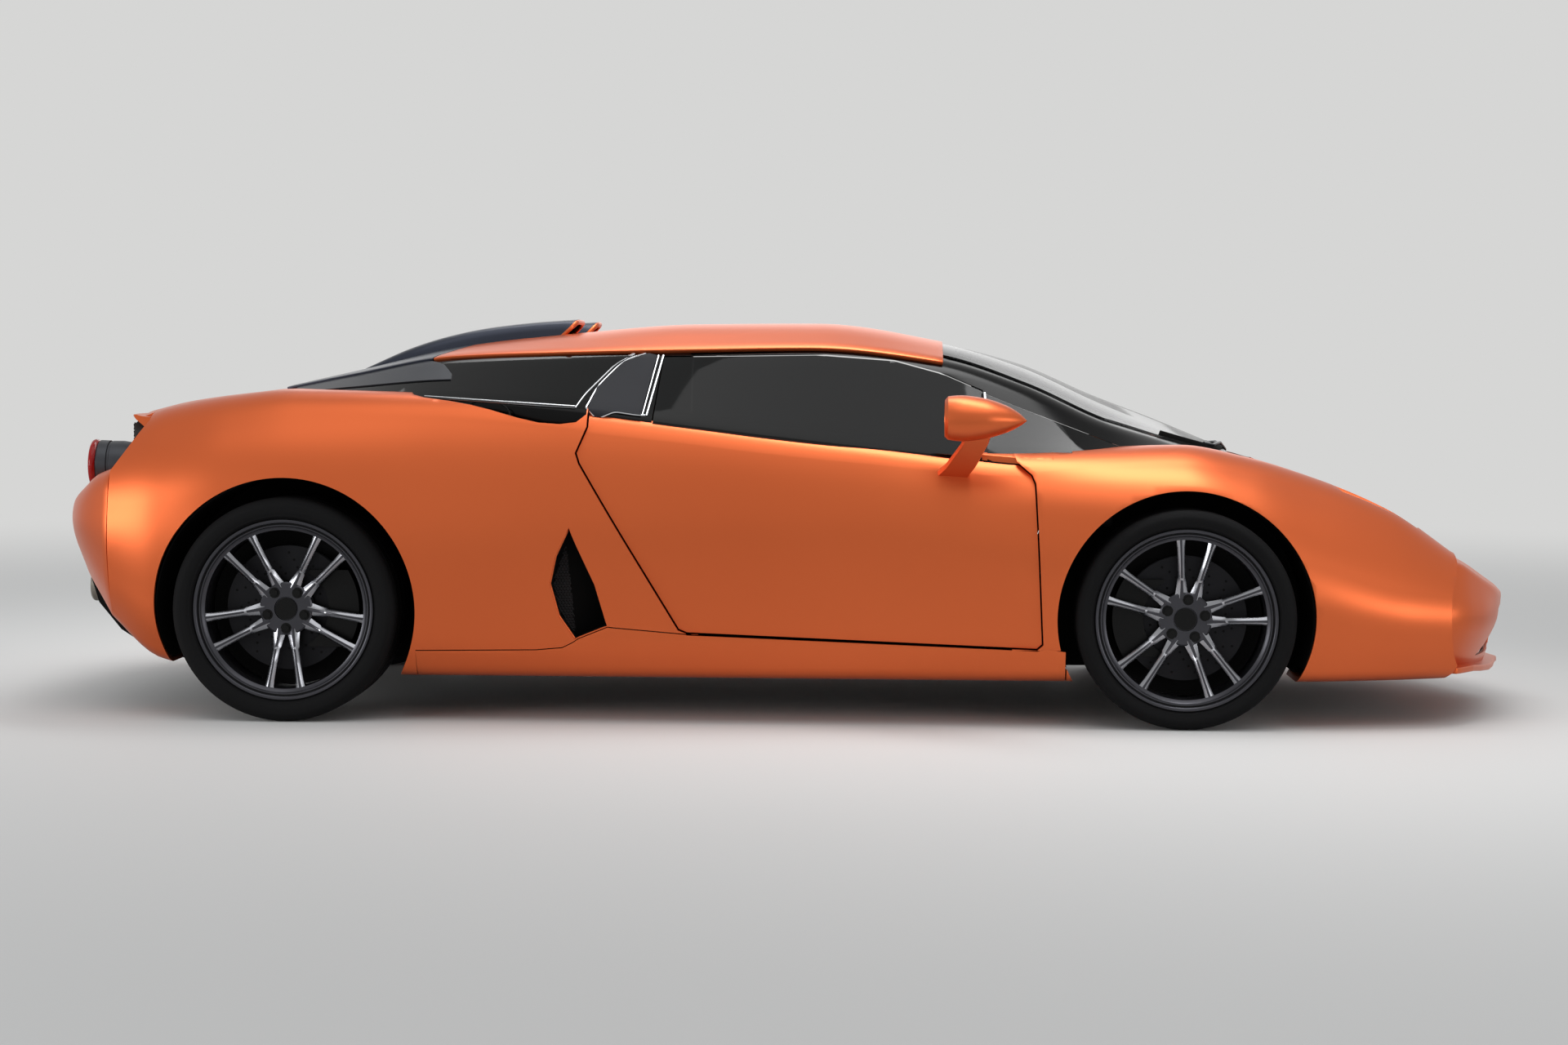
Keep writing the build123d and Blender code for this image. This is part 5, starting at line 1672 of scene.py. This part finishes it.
def seenOnly(tree):
    # 1 for camera, mirror and glass rays, 0 for the rays that light the car
    path = nodeIn(tree, "LightPath").outputs
    rays = {0: path["Is Glossy Ray"], 1: path["Is Transmission Ray"]}
    either = nodeIn(tree, "Math", rays, operation="MAXIMUM")
    return nodeIn(tree, "Math", {0: either, 1: path["Is Camera Ray"]}, operation="MAXIMUM")


backdrop = srgb("D6D6D5")


def floorMaterial(name, colour, roughness, near, far):
    # rolled matt floor paint: pale and even, running into the backdrop's tone between two distances in metres
    mat, tree, where = newMaterial(name)
    coat = nodeIn(tree, "BsdfPrincipled", {"Base Color": srgb(colour), "Roughness": roughness})
    tone = nodeIn(tree, "Emission", {"Color": backdrop, "Strength": 1.0})
    away = nodeIn(tree, "VectorMath", {0: where}, operation="LENGTH").outputs["Value"]
    span = {"Value": away, "From Min": near, "From Max": far}
    fade = nodeIn(tree, "MapRange", span, interpolation_type="SMOOTHSTEP")
    share = nodeIn(tree, "Math", {0: fade, 1: seenOnly(tree)}, operation="MULTIPLY")
    mix = nodeIn(tree, "MixShader", {0: share, 1: coat, 2: tone})
    nodeIn(tree, "OutputMaterial", {"Surface": mix})
    return mat


floorMesh = bmesh.new()
bmesh.ops.create_grid(floorMesh, x_segments=1, y_segments=1, size=60.0)
floor = toObject(floorMesh, "studio_floor")
floor.data.materials.append(floorMaterial("studio_floor_paint", "CFCFCE", 0.7, 4.0, 11.0))

world = bpy.data.worlds.new("studio")
bpy.context.scene.world = world
world.use_nodes = True
tree = world.node_tree
tree.nodes.clear()
light = nodeIn(tree, "Background", {"Color": srgb("E8EAEC"), "Strength": 0.66})
seen = nodeIn(tree, "Background", {"Color": backdrop, "Strength": 1.0})
mix = nodeIn(tree, "MixShader", {0: seenOnly(tree), 1: light, 2: seen})
nodeIn(tree, "OutputWorld", {"Surface": mix})


def linked(name, data):
    obj = bpy.data.objects.new(name, data)
    bpy.context.scene.collection.objects.link(obj)
    return obj


def softbox(name, place, target, size, power):
    data = bpy.data.lights.new(name, "AREA")
    data.shape = "RECTANGLE"
    data.size, data.size_y = size
    data.energy = power
    data.spread = math.radians(80)
    obj = linked(name, data)
    obj.location = Vector(place)
    obj.rotation_euler = (Vector(target) - Vector(place)).to_track_quat("-Z", "Y").to_euler()


softbox("overhead", (0.2, 0.2, 4.4), (0.0, 0.0, 0.5), (5.5, 1.2), 40.0)
softbox("front_key", (6.8, -5.4, 1.5), (1.4, -0.4, 0.5), (4.6, 2.0), 20.0)
softbox("rear_rim", (-7.0, -4.6, 1.6), (-1.6, -0.4, 0.5), (4.2, 2.2), 40.0)
softbox("side_fill", (0.0, 6.5, 3.0), (0.0, 0.0, 0.5), (6.0, 3.0), 12.0)
sun = bpy.data.lights.new("high_sun", "SUN")
sun.energy = 0.6
sun.angle = math.radians(50)
linked("high_sun", sun).rotation_euler = (math.radians(22), math.radians(8), 0)

camera = bpy.data.cameras.new("camera")
camera.lens = cameraFit["lens"]
camera.sensor_width = 36.0
view = linked("camera", camera)
pitch, yaw, roll = (math.radians(cameraFit[k]) for k in ("pitch", "yaw", "roll"))
ahead = Vector((math.sin(yaw) * math.cos(pitch), math.cos(yaw) * math.cos(pitch), -math.sin(pitch)))
level = Vector((math.cos(yaw), -math.sin(yaw), 0))
upward = level.cross(ahead)
right = level * math.cos(roll) + upward * math.sin(roll)
up = upward * math.cos(roll) - level * math.sin(roll)
place = Matrix.Translation(at(cameraFit["x"], cameraFit["y"], cameraFit["z"]))
view.matrix_world = place @ Matrix((right, up, -ahead)).transposed().to_4x4()
bpy.context.scene.camera = view
bpy.context.scene.view_settings.view_transform = "Standard"
print("stage and camera set")
